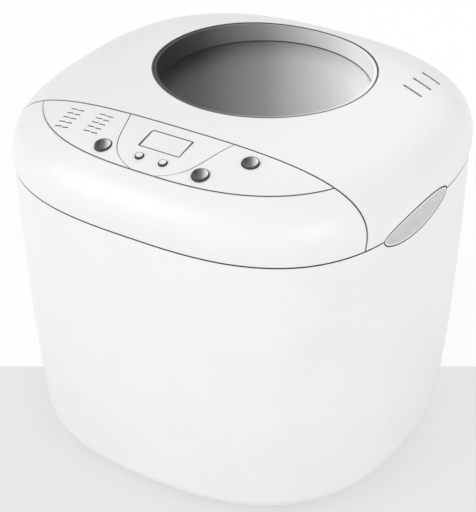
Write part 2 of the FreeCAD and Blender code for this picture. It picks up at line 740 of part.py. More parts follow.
def screw(x, y, z, length, way):
    """Pan-head screw: the shank runs from the seat at z, upwards for way 1 and downwards for way -1."""
    head = SCREW_HEAD_HEIGHT
    slot = SCREW_SLOT
    profile = [(0, length), (SCREW_RADIUS, length), (SCREW_RADIUS, 0), (SCREW_HEAD_RADIUS, 0),
               (SCREW_HEAD_RADIUS, -head / 2), (SCREW_HEAD_RADIUS - head / 2, -head), (0, -head)]
    solid = turned(profile)
    reach = SCREW_HEAD_RADIUS * 2 / 3
    cross = slab(-head, -head / 2, -slot / 2, slot / 2, -reach, reach)
    solid = solid.cut(cross.fuse(slab(-head, -head / 2, -reach, reach, -slot / 2, slot / 2)))
    if way < 0:
        solid.rotate(Vector(0, 0, 0), X_AXIS, 180)
    solid.translate(Vector(x, y, z))
    return solid


def screws(points, z, length, way):
    return Part.makeCompound([screw(x, y, z, length, way) for x, y in points])


def make_cord_grommet():
    """Bush in the back wall; the cord passes through its bore."""
    centre = Vector(GLAND_X, GLAND_PAD_Y - GLAND_INNER_LENGTH, GLAND_Z)
    sleeve = Part.makeCylinder(GLAND_BODY_RADIUS, GLAND_INNER_LENGTH, centre, Y_AXIS)
    seat = Vector(GLAND_X, GLAND_PAD_Y, GLAND_Z)
    tip_radius = GLAND_FLANGE_RADIUS - GLAND_FLANGE_TAPER
    flange = Part.makeCone(GLAND_FLANGE_RADIUS, tip_radius, GLAND_FLANGE_THICK, seat, Y_AXIS)
    bore = Part.makeCylinder(GLAND_BORE_RADIUS, GLAND_INNER_LENGTH + GLAND_FLANGE_THICK, centre, Y_AXIS)
    return sleeve.fuse(flange).removeSplitter().cut(bore)


def make_casing_screws():
    """Screws of base plate, cowl, control board and chassis."""
    base = screws(casing_screw_points(), FOOT_HEIGHT, SCREW_LENGTH, 1)
    cowl = screws(COWL_BOSSES, DECK_LOW, DECK_THICK + SCREW_LENGTH, 1)
    chassis = screws(post_points(), CHASSIS_TOP, SCREW_LENGTH, -1)
    return Part.makeCompound(base.Solids + cowl.Solids + chassis.Solids + make_board_screws().Solids)


def casing_parts():
    outer = body_form(0.0, 0.0).fuse(cap_form(0.0))
    cup = make_grip_cup(outer)
    return {
        "body_shell": make_body_shell(),
        "base_plate": make_base_plate(),
        "feet": make_feet(),
        "top_deck": make_top_deck(),
        "grip_cups": Part.makeCompound([cup, mirrored(cup)]),
        "cord_grommet": make_cord_grommet(),
        "casing_screws": make_casing_screws(),
    }


def lid_block(inset, low):
    """Part of the dome behind the split and above a level, drawn in by an inset."""
    front = SPLIT_Y + SPLIT_GAP / 2 + inset
    return cap_form(inset).common(slab(low, TOP_Z, front, REACH))


def ear_notches():
    """Room round the hinge ears of the tub."""
    width = EAR_WIDTH / 2 + HINGE_SIDE_GAP
    top = HINGE_Z + KNUCKLE_RADIUS + EAR_NOTCH_GAP
    front = HINGE_Y - KNUCKLE_RADIUS - EAR_NOTCH_GAP
    boxes = []
    for hinge in (-HINGE_X, HINGE_X):
        for offset in (-EAR_OFFSET, EAR_OFFSET):
            x = hinge + offset
            boxes.append(slab(SEAM_Z, top, front, REACH, x - width, x + width))
    return fused(boxes)


def vent_slots():
    slots = []
    for row in range(VENT_COUNT):
        step = row - (VENT_COUNT - 1) / 2
        slot = rounded_block(VENT_LENGTH / 2, VENT_WIDTH / 2, VENT_WIDTH / 2 - FIT, LINER_TOP, TOP_Z)
        slot.rotate(Vector(0, 0, 0), Z_AXIS, VENT_ANGLE)
        slot.translate(Vector(VENT_X - step * VENT_STEP_X, VENT_Y + step * VENT_PITCH, 0))
        slots.append(slot)
    return fused(slots)


def make_lid_shell():
    skin = cap_form(CAP_WALL / 2)
    lid = lid_block(0.0, SEAM_Z + SEAM_GAP).cut(lid_block(CAP_WALL, SEAM_Z))
    bosses = [cylinder(LID_BOSS_RADIUS, LINER_TOP, TOP_Z, x, y).common(skin) for x, y in LID_BOSSES]
    lid = fused([lid] + bosses).cut(cylinder(WINDOW_RADIUS, SEAM_Z, TOP_Z, 0, WINDOW_Y))
    lid = lid.cut(vent_slots()).cut(both_sides(grip_plug(GRIP_LID_GAP, GRIP_CUT_X))).cut(ear_notches())
    knuckles = []
    for x in (-HINGE_X, HINGE_X):
        knuckles.append(bar_x(KNUCKLE_RADIUS, x - KNUCKLE_WIDTH / 2, x + KNUCKLE_WIDTH / 2, HINGE_Y, HINGE_Z))
    lid = fused([lid] + knuckles).cut(hinge_bores(HINGE_PIN_RADIUS + PIN_CLEARANCE))
    for x, y in LID_BOSSES:
        lid = lid.cut(cylinder(SCREW_RADIUS, LINER_Z, LINER_TOP + SCREW_LENGTH, x, y))
    return lid


def make_lid_liner():
    """Pressed inner sheet: a flat rim and a cone that rises to a lip under the glass."""
    front = SPLIT_Y + SPLIT_GAP / 2 + CAP_WALL + LINER_CLEARANCE
    sheet = cap_form(CAP_WALL + LINER_CLEARANCE).common(slab(LINER_Z, LINER_TOP, front, REACH))
    sheet = sheet.cut(cylinder(LINER_CONE_RADIUS - LINER_THICK, LINER_Z, LINER_TOP, 0, WINDOW_Y))
    lip = GLASS_LOW - LINER_THICK
    top = GLASS_RADIUS + LINER_CLEARANCE
    cone = turned([(LINER_CONE_RADIUS, LINER_Z), (LINER_CONE_RADIUS, LINER_TOP),
                   (top + LINER_THICK, GLASS_LOW), (LINER_LIP_RADIUS, GLASS_LOW),
                   (LINER_LIP_RADIUS, lip), (top, lip),
                   (LINER_CONE_RADIUS - LINER_THICK, LINER_Z)], 0, WINDOW_Y)
    liner = sheet.fuse(cone)
    for x, y in LID_BOSSES:
        liner = liner.cut(cylinder(SCREW_RADIUS, LINER_Z, LINER_TOP, x, y))
    return liner


def make_window_frame():
    """Collar that lines the well, with a foot on the seal and a rim against the lid's inner skin."""
    outside = WINDOW_RADIUS - FIT
    inside = outside - FRAME_WALL
    flange = outside + FRAME_FLANGE_WIDTH
    low, shelf = SEAL_TOP, SEAL_TOP + FRAME_FLANGE_THICK
    collar = ring(outside, inside, low, TOP_Z, 0, WINDOW_Y).common(cap_form(FRAME_SINK))
    foot = ring(flange, inside, low, shelf, 0, WINDOW_Y)
    rim = ring(flange, flange - FRAME_WALL, low, TOP_Z, 0, WINDOW_Y).common(cap_form(CAP_WALL))
    return fused([collar, foot, rim])


def lid_parts():
    inside = WINDOW_RADIUS - FIT - FRAME_WALL
    pins = []
    for x in (-HINGE_X, HINGE_X):
        reach = EAR_OFFSET + EAR_WIDTH / 2
        pins.append(bar_x(HINGE_PIN_RADIUS, x - reach, x + reach, HINGE_Y, HINGE_Z))
    bumper_low = DECK_TOP + REST_GAP
    bumpers = [cylinder(BUMPER_RADIUS, bumper_low, LINER_Z, x, BUMPER_Y) for x in (-BUMPER_X, BUMPER_X)]
    return {
        "lid_shell": make_lid_shell(),
        "lid_liner": make_lid_liner(),
        "window_glass": cylinder(GLASS_RADIUS, GLASS_LOW, GLASS_TOP, 0, WINDOW_Y),
        "window_seal": ring(GLASS_RADIUS, inside, GLASS_TOP, SEAL_TOP, 0, WINDOW_Y),
        "window_frame": make_window_frame(),
        "lid_bumpers": Part.makeCompound(bumpers),
        "lid_screws": screws(LID_BOSSES, LINER_Z, SCREW_LENGTH, 1),
        "hinge_pins": Part.makeCompound(pins),
    }


def panel_frame(x, y):
    """Place of a point of the dome in the panel's own frame: across, up the slope, out of the panel."""
    step = Vector(x, y, cap_height(x, y)) - PANEL_ORIGIN
    turn = FreeCAD.Rotation(X_AXIS, -PANEL_TILT)
    return turn.multVec(step)


def on_panel(shape):
    """Moves a shape from the panel's frame to the machine's."""
    shape = shape.copy()
    shape.rotate(Vector(0, 0, 0), X_AXIS, PANEL_TILT)
    shape.translate(PANEL_ORIGIN)
    return shape


def panel_layer(drop):
    """Skin of the cowl above the panel's level line, one panel thick."""
    front = slab(PANEL_LINE_Z - drop, TOP_Z, -REACH, SPLIT_Y - SPLIT_GAP / 2)
    return cap_form(0.0).cut(cap_form(PANEL_THICK)).common(front)


def bezel_prism(grow):
    """Upright prism with the U-shaped outline of the display bezel."""
    half = [(BEZEL_HALF_WIDTH, SPLIT_SETBACK), (BEZEL_WAIST_HALF_WIDTH, BEZEL_WAIST_SETBACK),
            (BEZEL_SHOULDER_HALF_WIDTH, BEZEL_SHOULDER_SETBACK), (BEZEL_FRONT_HALF_WIDTH, BEZEL_TOE_SETBACK)]
    right = [Vector(x + grow, FRONT_Y + setback, 0) for x, setback in half]
    left = [Vector(-x - grow, FRONT_Y + setback, 0) for x, setback in reversed(half)]
    curve = Part.BSplineCurve()
    curve.interpolate(right + [Vector(0, FRONT_Y + BEZEL_FRONT_SETBACK - grow, 0)] + left)
    wire = Part.Wire([curve.toShape(), Part.makeLine(left[-1], right[0])])
    return Part.Face(wire).extrude(Vector(0, 0, REACH))


def button_places():
    places = {}
    for radius, buttons in ((BIG_BUTTON_RADIUS, BIG_BUTTONS), (SMALL_BUTTON_RADIUS, SMALL_BUTTONS)):
        for name, (x, setback) in buttons.items():
            places[name] = (radius, panel_frame(x, FRONT_Y + setback))
    return places


def button_holes():
    holes = []
    for radius, at in button_places().values():
        holes.append(cylinder(radius + BUTTON_CLEARANCE, -BOARD_DEPTH, BOARD_DEPTH, at.x, at.y))
    return on_panel(fused(holes))


def lcd_block(grow, top, low):
    at = panel_frame(0.0, LCD_Y)
    half_x, half_slope = LCD_HALF_X + grow, LCD_HALF_SLOPE + grow
    return on_panel(rounded_block(half_x, half_slope, LCD_CORNER, at.z + low, at.z + top, at.x, at.y))


def board_posts(radius, low, high):
    posts = []
    for x in (-BOARD_POST_X, BOARD_POST_X):
        for slope in BOARD_POST_SLOPES:
            posts.append(cylinder(radius, low, high, x, slope))
    return on_panel(fused(posts))


def make_control_cowl():
    back = SPLIT_Y - SPLIT_GAP / 2
    cowl = cap_form(0.0).common(slab(SEAM_Z + SEAM_GAP, TOP_Z, -REACH, back))
    cowl = cowl.cut(cap_form(CAP_WALL).common(slab(SEAM_Z, TOP_Z, -REACH, back - CAP_WALL)))
    inside = cap_form(RIB_INSET + RIB_THICK + FIT)
    wall = inside.common(slab(DECK_TOP, SEAM_Z + 2 * SEAM_GAP, back - CAP_WALL, back))
    skin = cap_form(CAP_WALL / 2)
    bosses = [cylinder(BOSS_RADIUS, DECK_TOP, TOP_Z, x, y).common(skin) for x, y in COWL_BOSSES]
    posts = board_posts(BOARD_POST_RADIUS, -BOARD_DEPTH, BOARD_DEPTH).common(skin)
    cowl = fused([cowl, wall] + bosses + [posts])
    cowl = cowl.cut(panel_layer(PANEL_GAP)).cut(button_holes()).cut(lcd_block(FIT, BOARD_DEPTH, -BOARD_DEPTH))
    for x, y in COWL_BOSSES:
        cowl = cowl.cut(cylinder(SCREW_RADIUS, DECK_TOP, DECK_TOP + SCREW_LENGTH, x, y))
    return cowl.cut(board_posts(SCREW_RADIUS, -BOARD_DEPTH, SCREW_LENGTH - BOARD_THICK - BOARD_DEPTH))


def dished_cap(radius, at, low):
    top = at.z + BUTTON_PROUD
    cap = cylinder(radius, low, top, at.x, at.y)
    rim = [e for e in cap.Edges if abs(e.BoundBox.ZMin - top) < TOUCH]
    cap = cap.makeFillet(BUTTON_EDGE, rim)
    bowl = radius - BUTTON_EDGE
    ball = (bowl ** 2 + BUTTON_DISH ** 2) / (2 * BUTTON_DISH)
    return cap.cut(Part.makeSphere(ball, Vector(at.x, at.y, top - BUTTON_DISH + ball)))


def make_button(radius, at):
    """Dished cap with a skirt, a retaining collar under the cowl and a stem over its switch."""
    low = at.z - BUTTON_SKIRT
    tip = SWITCH_HEIGHT + SWITCH_TIP_HEIGHT - BOARD_DEPTH + BUTTON_TRAVEL + FIT
    cap = dished_cap(radius, at, low)
    collar = cylinder(radius + BUTTON_COLLAR, low - BUTTON_COLLAR_THICK, low, at.x, at.y)
    stem = cylinder(BUTTON_STEM_RADIUS, tip, low, at.x, at.y)
    return on_panel(fused([cap, collar, stem]))


def make_key_switches():
    switches = []
    for radius, at in button_places().values():
        low = -BOARD_DEPTH
        half = SWITCH_HALF
        case = slab(low, low + SWITCH_HEIGHT, at.y - half, at.y + half, at.x - half, at.x + half)
        tip = cylinder(SWITCH_TIP_RADIUS, low, low + SWITCH_HEIGHT + SWITCH_TIP_HEIGHT, at.x, at.y)
        switches.append(on_panel(case.fuse(tip)))
    return Part.makeCompound(switches)


def make_control_board():
    low = -BOARD_DEPTH - BOARD_THICK
    board = rounded_block(BOARD_HALF_X, BOARD_HALF_SLOPE, LCD_CORNER, low, -BOARD_DEPTH, 0, BOARD_SLOPE)
    return on_panel(board).cut(board_posts(SCREW_RADIUS, low, -BOARD_DEPTH))


def make_board_screws():
    points = [(x, y) for x in (-BOARD_POST_X, BOARD_POST_X) for y in BOARD_POST_SLOPES]
    low = -BOARD_DEPTH - BOARD_THICK
    return Part.makeCompound([on_panel(screw(x, y, low, SCREW_LENGTH, 1)) for x, y in points])


def control_parts():
    layer = panel_layer(0.0).cut(button_holes())
    panel = layer.cut(bezel_prism(PANEL_GAP / 2))
    bezel = layer.common(bezel_prism(-PANEL_GAP / 2)).cut(lcd_block(FIT, BOARD_DEPTH, -BOARD_DEPTH))
    lens_low = -LCD_LENS_SINK - LCD_LENS_THICK
    board_top = -BOARD_DEPTH - panel_frame(0.0, LCD_Y).z
    parts = {
        "control_cowl": make_control_cowl(),
        "control_panel": Part.makeCompound(panel.Solids),
        "display_bezel": bezel,
        "lcd_window": lcd_block(0.0, -LCD_LENS_SINK, lens_low),
        "lcd_module": lcd_block(LCD_MODULE_MARGIN, lens_low, board_top),
        "control_board": make_control_board(),
        "key_switches": make_key_switches(),
    }
    for name, (radius, at) in button_places().items():
        parts[name] = make_button(radius, at)
    return parts


def tube(points, radius, bends):
    """Round bar along straight runs between points, with an arc of its own radius at each inner point."""
    edges = []
    start = points[0]
    for before, corner, after, bend in zip(points, points[1:], points[2:], bends):
        back = (before - corner).normalize()
        ahead = (after - corner).normalize()
        half = back.getAngle(ahead) / 2
        run = bend / math.tan(half)
        bisector = (back + ahead).normalize()
        middle = corner + bisector * (bend / math.sin(half) - bend)
        entry, leave = corner + back * run, corner + ahead * run
        edges.append(Part.makeLine(start, entry))
        edges.append(Part.Arc(entry, middle, leave).toShape())
        start = leave
    edges.append(Part.makeLine(start, points[-1]))
    circle = Part.Wire(Part.makeCircle(radius, points[0], points[1] - points[0]))
    return Part.Wire(edges).makePipeShell([circle], True, True)


def make_oven_chamber():
    """Deep-drawn box with a rounded floor edge and a rim flange under the deck."""
    box = rounded_block(OVEN_HALF_X + OVEN_WALL, OVEN_HALF_Y + OVEN_WALL, OVEN_RADIUS + OVEN_WALL,
                        OVEN_FLOOR_Z, DECK_LOW, 0, OVEN_Y)
    box = box.makeFillet(OVEN_FLOOR_RADIUS + OVEN_WALL, edges_at(box, OVEN_FLOOR_Z))
    room = rounded_block(OVEN_HALF_X, OVEN_HALF_Y, OVEN_RADIUS, OVEN_FLOOR_TOP, DECK_LOW, 0, OVEN_Y)
    room = room.makeFillet(OVEN_FLOOR_RADIUS, edges_at(room, OVEN_FLOOR_TOP))
    out = OVEN_WALL + OVEN_FLANGE
    flange = rounded_block(OVEN_HALF_X + out, OVEN_HALF_Y + out, OVEN_RADIUS + out,
                           DECK_LOW - OVEN_WALL, DECK_LOW, 0, OVEN_Y)
    chamber = box.fuse(flange).cut(room).cut(cylinder(HOUSING_RADIUS + FIT, 0, SEAM_Z, 0, OVEN_Y))
    for x in (-ELEMENT_GAP_HALF, ELEMENT_GAP_HALF):
        chamber = chamber.cut(bar_y(BUSHING_RADIUS, OVEN_FRONT - OVEN_WALL, OVEN_Y, x, ELEMENT_Z))
    return chamber.cut(bar_y(PROBE_RADIUS, OVEN_FRONT - OVEN_WALL, OVEN_Y, PROBE_X, PROBE_Z))


def edges_at(shape, z):
    return [e for e in shape.Edges if abs(e.BoundBox.ZMax - z) + abs(e.BoundBox.ZMin - z) < TOUCH]


def make_heating_element():
    """Sheathed loop round the pan, both tails leaving through the front wall."""
    half_x = OVEN_HALF_X - ELEMENT_WALL_GAP
    half_y = OVEN_HALF_Y - ELEMENT_WALL_GAP
    front, back = OVEN_Y - half_y, OVEN_Y + half_y
    tail = OVEN_FRONT - ELEMENT_TAIL
    gap = ELEMENT_GAP_HALF
    outline = [(gap, tail), (gap, front), (half_x, front), (half_x, back),
               (-half_x, back), (-half_x, front), (-gap, front), (-gap, tail)]
    bends = [ELEMENT_TAIL_BEND] + [ELEMENT_BEND] * 4 + [ELEMENT_TAIL_BEND]
    return tube([Vector(x, y, ELEMENT_Z) for x, y in outline], ELEMENT_RADIUS, bends)


def make_element_clips():
    """Three spring-steel hooks that carry the loop from the chamber's walls."""
    low = ELEMENT_Z - ELEMENT_RADIUS - CLIP_THICK
    reach = ELEMENT_WALL_GAP + ELEMENT_RADIUS + CLIP_THICK
    thick = CLIP_THICK
    outline = [(0, low), (reach, low), (reach, low + CLIP_HOOK), (reach - thick, low + CLIP_HOOK),
               (reach - thick, low + thick), (thick, low + thick),
               (thick, low + CLIP_UPRIGHT), (0, low + CLIP_UPRIGHT)]
    clips = []
    for angle, distance in ((0.0, OVEN_HALF_X), (90.0, OVEN_HALF_Y), (180.0, OVEN_HALF_X)):
        points = [Vector(distance - away, -CLIP_WIDTH / 2, z) for away, z in outline]
        clip = polygon_prism(points, Vector(0, CLIP_WIDTH, 0))
        clip.rotate(Vector(0, 0, 0), Z_AXIS, angle)
        clip.translate(Vector(0, OVEN_Y, 0))
        clips.append(clip)
    return Part.makeCompound(clips)


def make_element_bushings():
    face = OVEN_FRONT - OVEN_WALL
    bushings = []
    for x in (-ELEMENT_GAP_HALF, ELEMENT_GAP_HALF):
        sleeve = bar_y(BUSHING_RADIUS, face - BUSHING_LENGTH, OVEN_FRONT, x, ELEMENT_Z)
        collar = bar_y(BUSHING_RADIUS + BUSHING_FLANGE, face - BUSHING_FLANGE, face, x, ELEMENT_Z)
        bore = bar_y(ELEMENT_RADIUS + PIN_CLEARANCE, face - BUSHING_LENGTH, OVEN_FRONT, x, ELEMENT_Z)
        bushings.append(sleeve.fuse(collar).cut(bore))
    return Part.makeCompound(bushings)


def make_pan_socket():
    """Shallow cup on the oven floor that centres the foot of the pan."""
    inside = FOOT_RING_RADIUS + FIT
    low, top = OVEN_FLOOR_TOP, OVEN_FLOOR_TOP + SOCKET_HEIGHT
    wall = inside + SOCKET_WALL
    rim = wall + SOCKET_FLANGE
    bore = HOUSING_RADIUS + SOCKET_WALL
    return turned([(bore, low), (rim, low), (rim, SOCKET_SEAT), (wall, SOCKET_SEAT), (wall, top),
                   (inside, top), (inside, SOCKET_SEAT), (bore, SOCKET_SEAT)], 0, OVEN_Y)


def make_pan_clips():
    """Two leaf springs on the rim of the socket that lean in on the foot of the pan."""
    low = SOCKET_SEAT
    touch = FOOT_RING_RADIUS + FIT
    stand = FOOT_RING_RADIUS + PAN_CLIP_STANDOFF
    kink, top = low + PAN_CLIP_KINK, low + PAN_CLIP_HEIGHT
    thick = PAN_CLIP_THICK
    outline = [(stand - PAN_CLIP_FOOT / 3, low), (stand, low), (touch + thick, kink), (stand - thick, top),
               (stand - 2 * thick, top), (touch, kink), (stand - 2 * thick, low + thick),
               (stand - PAN_CLIP_FOOT / 3, low + thick)]
    points = [Vector(x, OVEN_Y - PAN_CLIP_WIDTH / 2, z) for x, z in outline]
    clip = polygon_prism(points, Vector(0, PAN_CLIP_WIDTH, 0))
    return Part.makeCompound([clip, mirrored(clip)])


def oven_parts():
    face = OVEN_FRONT - OVEN_WALL
    probe = bar_y(PROBE_RADIUS, face, OVEN_FRONT + PROBE_REACH, PROBE_X, PROBE_Z)
    probe = probe.fuse(bar_y(PROBE_FLANGE_RADIUS, face - PROBE_RADIUS, face, PROBE_X, PROBE_Z))
    cutout = bar_y(CUTOUT_RADIUS, face - CUTOUT_THICK, face, CUTOUT_X, CUTOUT_Z)
    ear = slab(CUTOUT_Z - PROBE_RADIUS, CUTOUT_Z + PROBE_RADIUS, face - CLIP_THICK, face,
               CUTOUT_X - 2 * CUTOUT_RADIUS, CUTOUT_X + 2 * CUTOUT_RADIUS)
    return {
        "oven_chamber": make_oven_chamber(),
        "heating_element": make_heating_element(),
        "element_bushings": make_element_bushings(),
        "oven_sensors": Part.makeCompound([probe, cutout.fuse(ear)]),
        "pan_socket": make_pan_socket(),
        "spring_clips": Part.makeCompound(make_element_clips().Solids + make_pan_clips().Solids),
    }


def pan_form(inset, low, corner):
    """Tapered box of the pan, drawn in by an inset, with a rounded floor edge."""
    bottom = rounded_wire(PAN_HALF_X - PAN_DRAFT - inset, PAN_HALF_Y - PAN_DRAFT - inset,
                          PAN_RADIUS - inset, low, 0, OVEN_Y)
    top = rounded_wire(PAN_HALF_X - inset, PAN_HALF_Y - inset, PAN_RADIUS - inset, PAN_RIM_Z, 0, OVEN_Y)
    form = Part.makeLoft([bottom, top], True, True)
    return form.makeFillet(corner, edges_at(form, low))


def make_bread_pan():
    pan = pan_form(0.0, PAN_FLOOR_Z, PAN_FLOOR_RADIUS)
    rim = rounded_block(PAN_HALF_X + PAN_RIM_WIDTH, PAN_HALF_Y + PAN_RIM_WIDTH, PAN_RADIUS + PAN_RIM_WIDTH,
                        PAN_RIM_Z - PAN_RIM_THICK, PAN_RIM_Z, 0, OVEN_Y)
    rim = rim.makeFillet(PAN_RIM_THICK / 3, edges_at(rim, PAN_RIM_Z))
    pan = pan.fuse(rim).cut(pan_form(PAN_WALL, PAN_INSIDE_Z, PAN_FLOOR_RADIUS - PAN_WALL))
    return pan.cut(cylinder(PAN_BUSH_RADIUS, 0, PAN_RIM_Z, 0, OVEN_Y))


def pan_side(z):
    """Half width of the pan's outside at a height."""
    return PAN_HALF_X - PAN_DRAFT * (PAN_RIM_Z - z) / (PAN_RIM_Z - PAN_FLOOR_Z)


def make_pan_bush():
    low, floor, top = PAN_FLOOR_Z - PAN_BUSH_DROP, PAN_FLOOR_Z, PAN_INSIDE_Z + PAN_BUSH_RISE
    bore = SHAFT_RADIUS + SHAFT_CLEARANCE
    seat = top - PAN_SEAL_HEIGHT
    slope = PAN_BUSH_DROP / 2
    edge = PAN_BUSH_EDGE
    return turned([(bore, low), (PAN_BUSH_FLANGE - slope, low), (PAN_BUSH_FLANGE, floor - slope),
                   (PAN_BUSH_FLANGE, floor), (PAN_BUSH_RADIUS, floor), (PAN_BUSH_RADIUS, top - edge),
                   (PAN_BUSH_RADIUS - edge, top), (PAN_SEAL_RADIUS, top), (PAN_SEAL_RADIUS, seat),
                   (bore, seat)], 0, OVEN_Y)


def make_bail_ears():
    """Riveted plates at the ends of the pan, each with a hole for the bail's wire."""
    side = pan_side(BAIL_Z - BAIL_EAR_FOOT)
    out = PAN_HALF_X + BAIL_EAR_THICK
    low = BAIL_Z - BAIL_EAR_FOOT
    lower = slab(low, BAIL_Z, OVEN_Y - BAIL_EAR_RADIUS, OVEN_Y + BAIL_EAR_RADIUS, side, out)
    head = bar_x(BAIL_EAR_RADIUS, side, out, OVEN_Y, BAIL_Z)
    ear = lower.fuse(head).cut(pan_form(0.0, PAN_FLOOR_Z, PAN_FLOOR_RADIUS))
    ear = ear.cut(bar_x(BAIL_WIRE_RADIUS + BAIL_EAR_CLEARANCE, side, out, OVEN_Y, BAIL_Z))
    return Part.makeCompound([ear, mirrored(ear)])


def make_bail_handle():
    """Wire bail lying back over the rim, its ends turned into the ears."""
    tip = PAN_HALF_X + FIT
    side = PAN_HALF_X + PAN_RIM_WIDTH + BAIL_SIDE_GAP
    far = OVEN_Y + BAIL_ARM
    outline = [(tip, OVEN_Y), (side, OVEN_Y), (side, far), (-side, far), (-side, OVEN_Y), (-tip, OVEN_Y)]
    bend = 2 * BAIL_WIRE_RADIUS
    bends = [bend, BAIL_CORNER, BAIL_CORNER, bend]
    return tube([Vector(x, y, BAIL_Z) for x, y in outline], BAIL_WIRE_RADIUS, bends)


def make_paddle():
    """Kneading paddle: a hub with a D bore and one swept fin."""
    hub_top = PADDLE_LOW + PADDLE_HUB_HEIGHT
    foot = PAN_INSIDE_Z + PADDLE_FLOOR_GAP
    top = foot + PADDLE_HEIGHT
    edge = PADDLE_EDGE
    hub = turned([(0, PADDLE_LOW), (PADDLE_HUB_RADIUS, PADDLE_LOW),
                  (PADDLE_HUB_RADIUS - edge, hub_top - edge), (PADDLE_HUB_RADIUS - 2 * edge, hub_top),
                  (0, hub_top)], 0, OVEN_Y)
    inner = PAN_BUSH_RADIUS + PADDLE_FLOOR_GAP
    y = OVEN_Y - PADDLE_THICK / 2
    tip = PADDLE_LENGTH
    outline = [(0, PADDLE_LOW), (inner, PADDLE_LOW), (inner + edge, foot), (tip, foot),
               (tip, foot + PADDLE_TIP_RADIUS), (tip - PADDLE_TIP_RADIUS, top), (inner + edge, top),
               (0, hub_top - edge)]
    fin = polygon_prism([Vector(x, y, z) for x, z in outline], Vector(0, PADDLE_THICK, 0))
    uprights = [e for e in fin.Edges if e.BoundBox.YLength < TOUCH and e.BoundBox.XMin > inner]
    fin = fin.makeFillet(edge, uprights)
    return hub.fuse(fin).cut(pan_shaft_form(SHAFT_CLEARANCE))


def pan_shaft_form(grow):
    """Shaft through the pan, flattened where the paddle slides on."""
    top = PADDLE_LOW + PADDLE_HUB_HEIGHT * 2 / 3
    shaft = cylinder(SHAFT_RADIUS + grow, PAN_HUB_LOW, top + grow, 0, OVEN_Y)
    flat = slab(PADDLE_LOW, TOP_Z, OVEN_Y - 2 * SHAFT_RADIUS, OVEN_Y - SHAFT_FLAT - grow)
    return shaft.cut(flat)


def coupling(hub_low, hub_top, dog_low, dog_top, turn):
    """Hub with two opposite dogs."""
    shape = cylinder(COUPLING_RADIUS, hub_low, hub_top, 0, OVEN_Y)
    for side in (0.0, 180.0):
        foot = Vector(0, 0, dog_low)
        dog = Part.makeCylinder(COUPLING_RADIUS, dog_top - dog_low, foot, Z_AXIS, COUPLING_DOG_ANGLE)
        dog = dog.cut(cylinder(COUPLING_DOG_INNER, dog_low, dog_top))
        dog.rotate(Vector(0, 0, 0), Z_AXIS, turn + side - COUPLING_DOG_ANGLE / 2)
        dog.translate(Vector(0, OVEN_Y, 0))
        shape = shape.fuse(dog)
    return shape.cut(cylinder(SHAFT_RADIUS, hub_low, hub_top, 0, OVEN_Y))


def pan_parts():
    seal_top = PAN_INSIDE_Z + PAN_BUSH_RISE
    bore = SHAFT_RADIUS + SHAFT_CLEARANCE
    foot_low = SOCKET_SEAT + REST_GAP
    foot_bore = FOOT_RING_RADIUS - FOOT_RING_WALL
    dog_low = PAN_HUB_LOW - COUPLING_DOG_HEIGHT
    return {
        "bread_pan": make_bread_pan(),
        "pan_foot": ring(FOOT_RING_RADIUS, foot_bore, foot_low, PAN_FLOOR_Z, 0, OVEN_Y),
        "pan_bush": make_pan_bush(),
        "pan_seal": ring(PAN_SEAL_RADIUS, bore, seal_top - PAN_SEAL_HEIGHT, seal_top, 0, OVEN_Y),
        "bail_ears": make_bail_ears(),
        "bail_handle": make_bail_handle(),
        "kneading_paddle": make_paddle(),
        "pan_shaft": pan_shaft_form(0.0),
        "pan_coupling": coupling(PAN_HUB_LOW, PAN_HUB_TOP, dog_low, PAN_HUB_LOW, COUPLING_TURN),
        "shaft_retainer": ring(RETAINER_RADIUS, SHAFT_RADIUS, PAN_HUB_TOP, RETAINER_TOP, 0, OVEN_Y),
    }


def make_chassis_plate():
    """Pressed tray that carries oven, bearing and motor."""
    half_y = (CHASSIS_BACK_Y - CHASSIS_FRONT_Y) / 2
    y = (CHASSIS_BACK_Y + CHASSIS_FRONT_Y) / 2
    tray = rounded_block(CHASSIS_HALF_X, half_y, CHASSIS_RADIUS, CHASSIS_Z - CHASSIS_LIP, CHASSIS_TOP, 0, y)
    inset = CHASSIS_THICK
    tray = tray.cut(rounded_block(CHASSIS_HALF_X - inset, half_y - inset, CHASSIS_RADIUS - inset,
                                  CHASSIS_Z - CHASSIS_LIP, CHASSIS_Z, 0, y))
    pads = [(x, y) for x in (-PAD_X, PAD_X) for y in (PAD_FRONT_Y, PAD_BACK_Y)]
    tray = fused([tray] + [cylinder(PAD_RADIUS, CHASSIS_Z, OVEN_FLOOR_Z, x, y) for x, y in pads])
    tray = tray.fuse(board_bracket()).cut(cylinder(HOUSING_RADIUS, 0, TOP_Z, 0, OVEN_Y))
    tray = tray.cut(cylinder(MOTOR_PULLEY_RADIUS, 0, TOP_Z, MOTOR_X, MOTOR_Y))
    for x, y in post_points() + motor_ear_points():
        tray = tray.cut(cylinder(SCREW_RADIUS, 0, TOP_Z, x, y))
    return tray


def motor_ear_points():
    points = []
    for degrees in MOTOR_EAR_ANGLES:
        angle = math.radians(degrees)
        x, y = MOTOR_EAR_CIRCLE * math.cos(angle), MOTOR_EAR_CIRCLE * math.sin(angle)
        points.append((MOTOR_X + x, MOTOR_Y + y))
    return points


def make_bearing_housing():
    """Cast sleeve with a flange between chassis and oven floor, bored for two bushes."""
    return turned([(BUSH_RADIUS, HOUSING_LOW_Z), (HOUSING_RADIUS, HOUSING_LOW_Z),
                   (HOUSING_RADIUS, CHASSIS_TOP), (HOUSING_FLANGE_RADIUS, CHASSIS_TOP),
                   (HOUSING_FLANGE_RADIUS, OVEN_FLOOR_Z), (HOUSING_RADIUS, OVEN_FLOOR_Z),
                   (HOUSING_RADIUS, HOUSING_TOP), (BUSH_RADIUS, HOUSING_TOP)], 0, OVEN_Y)


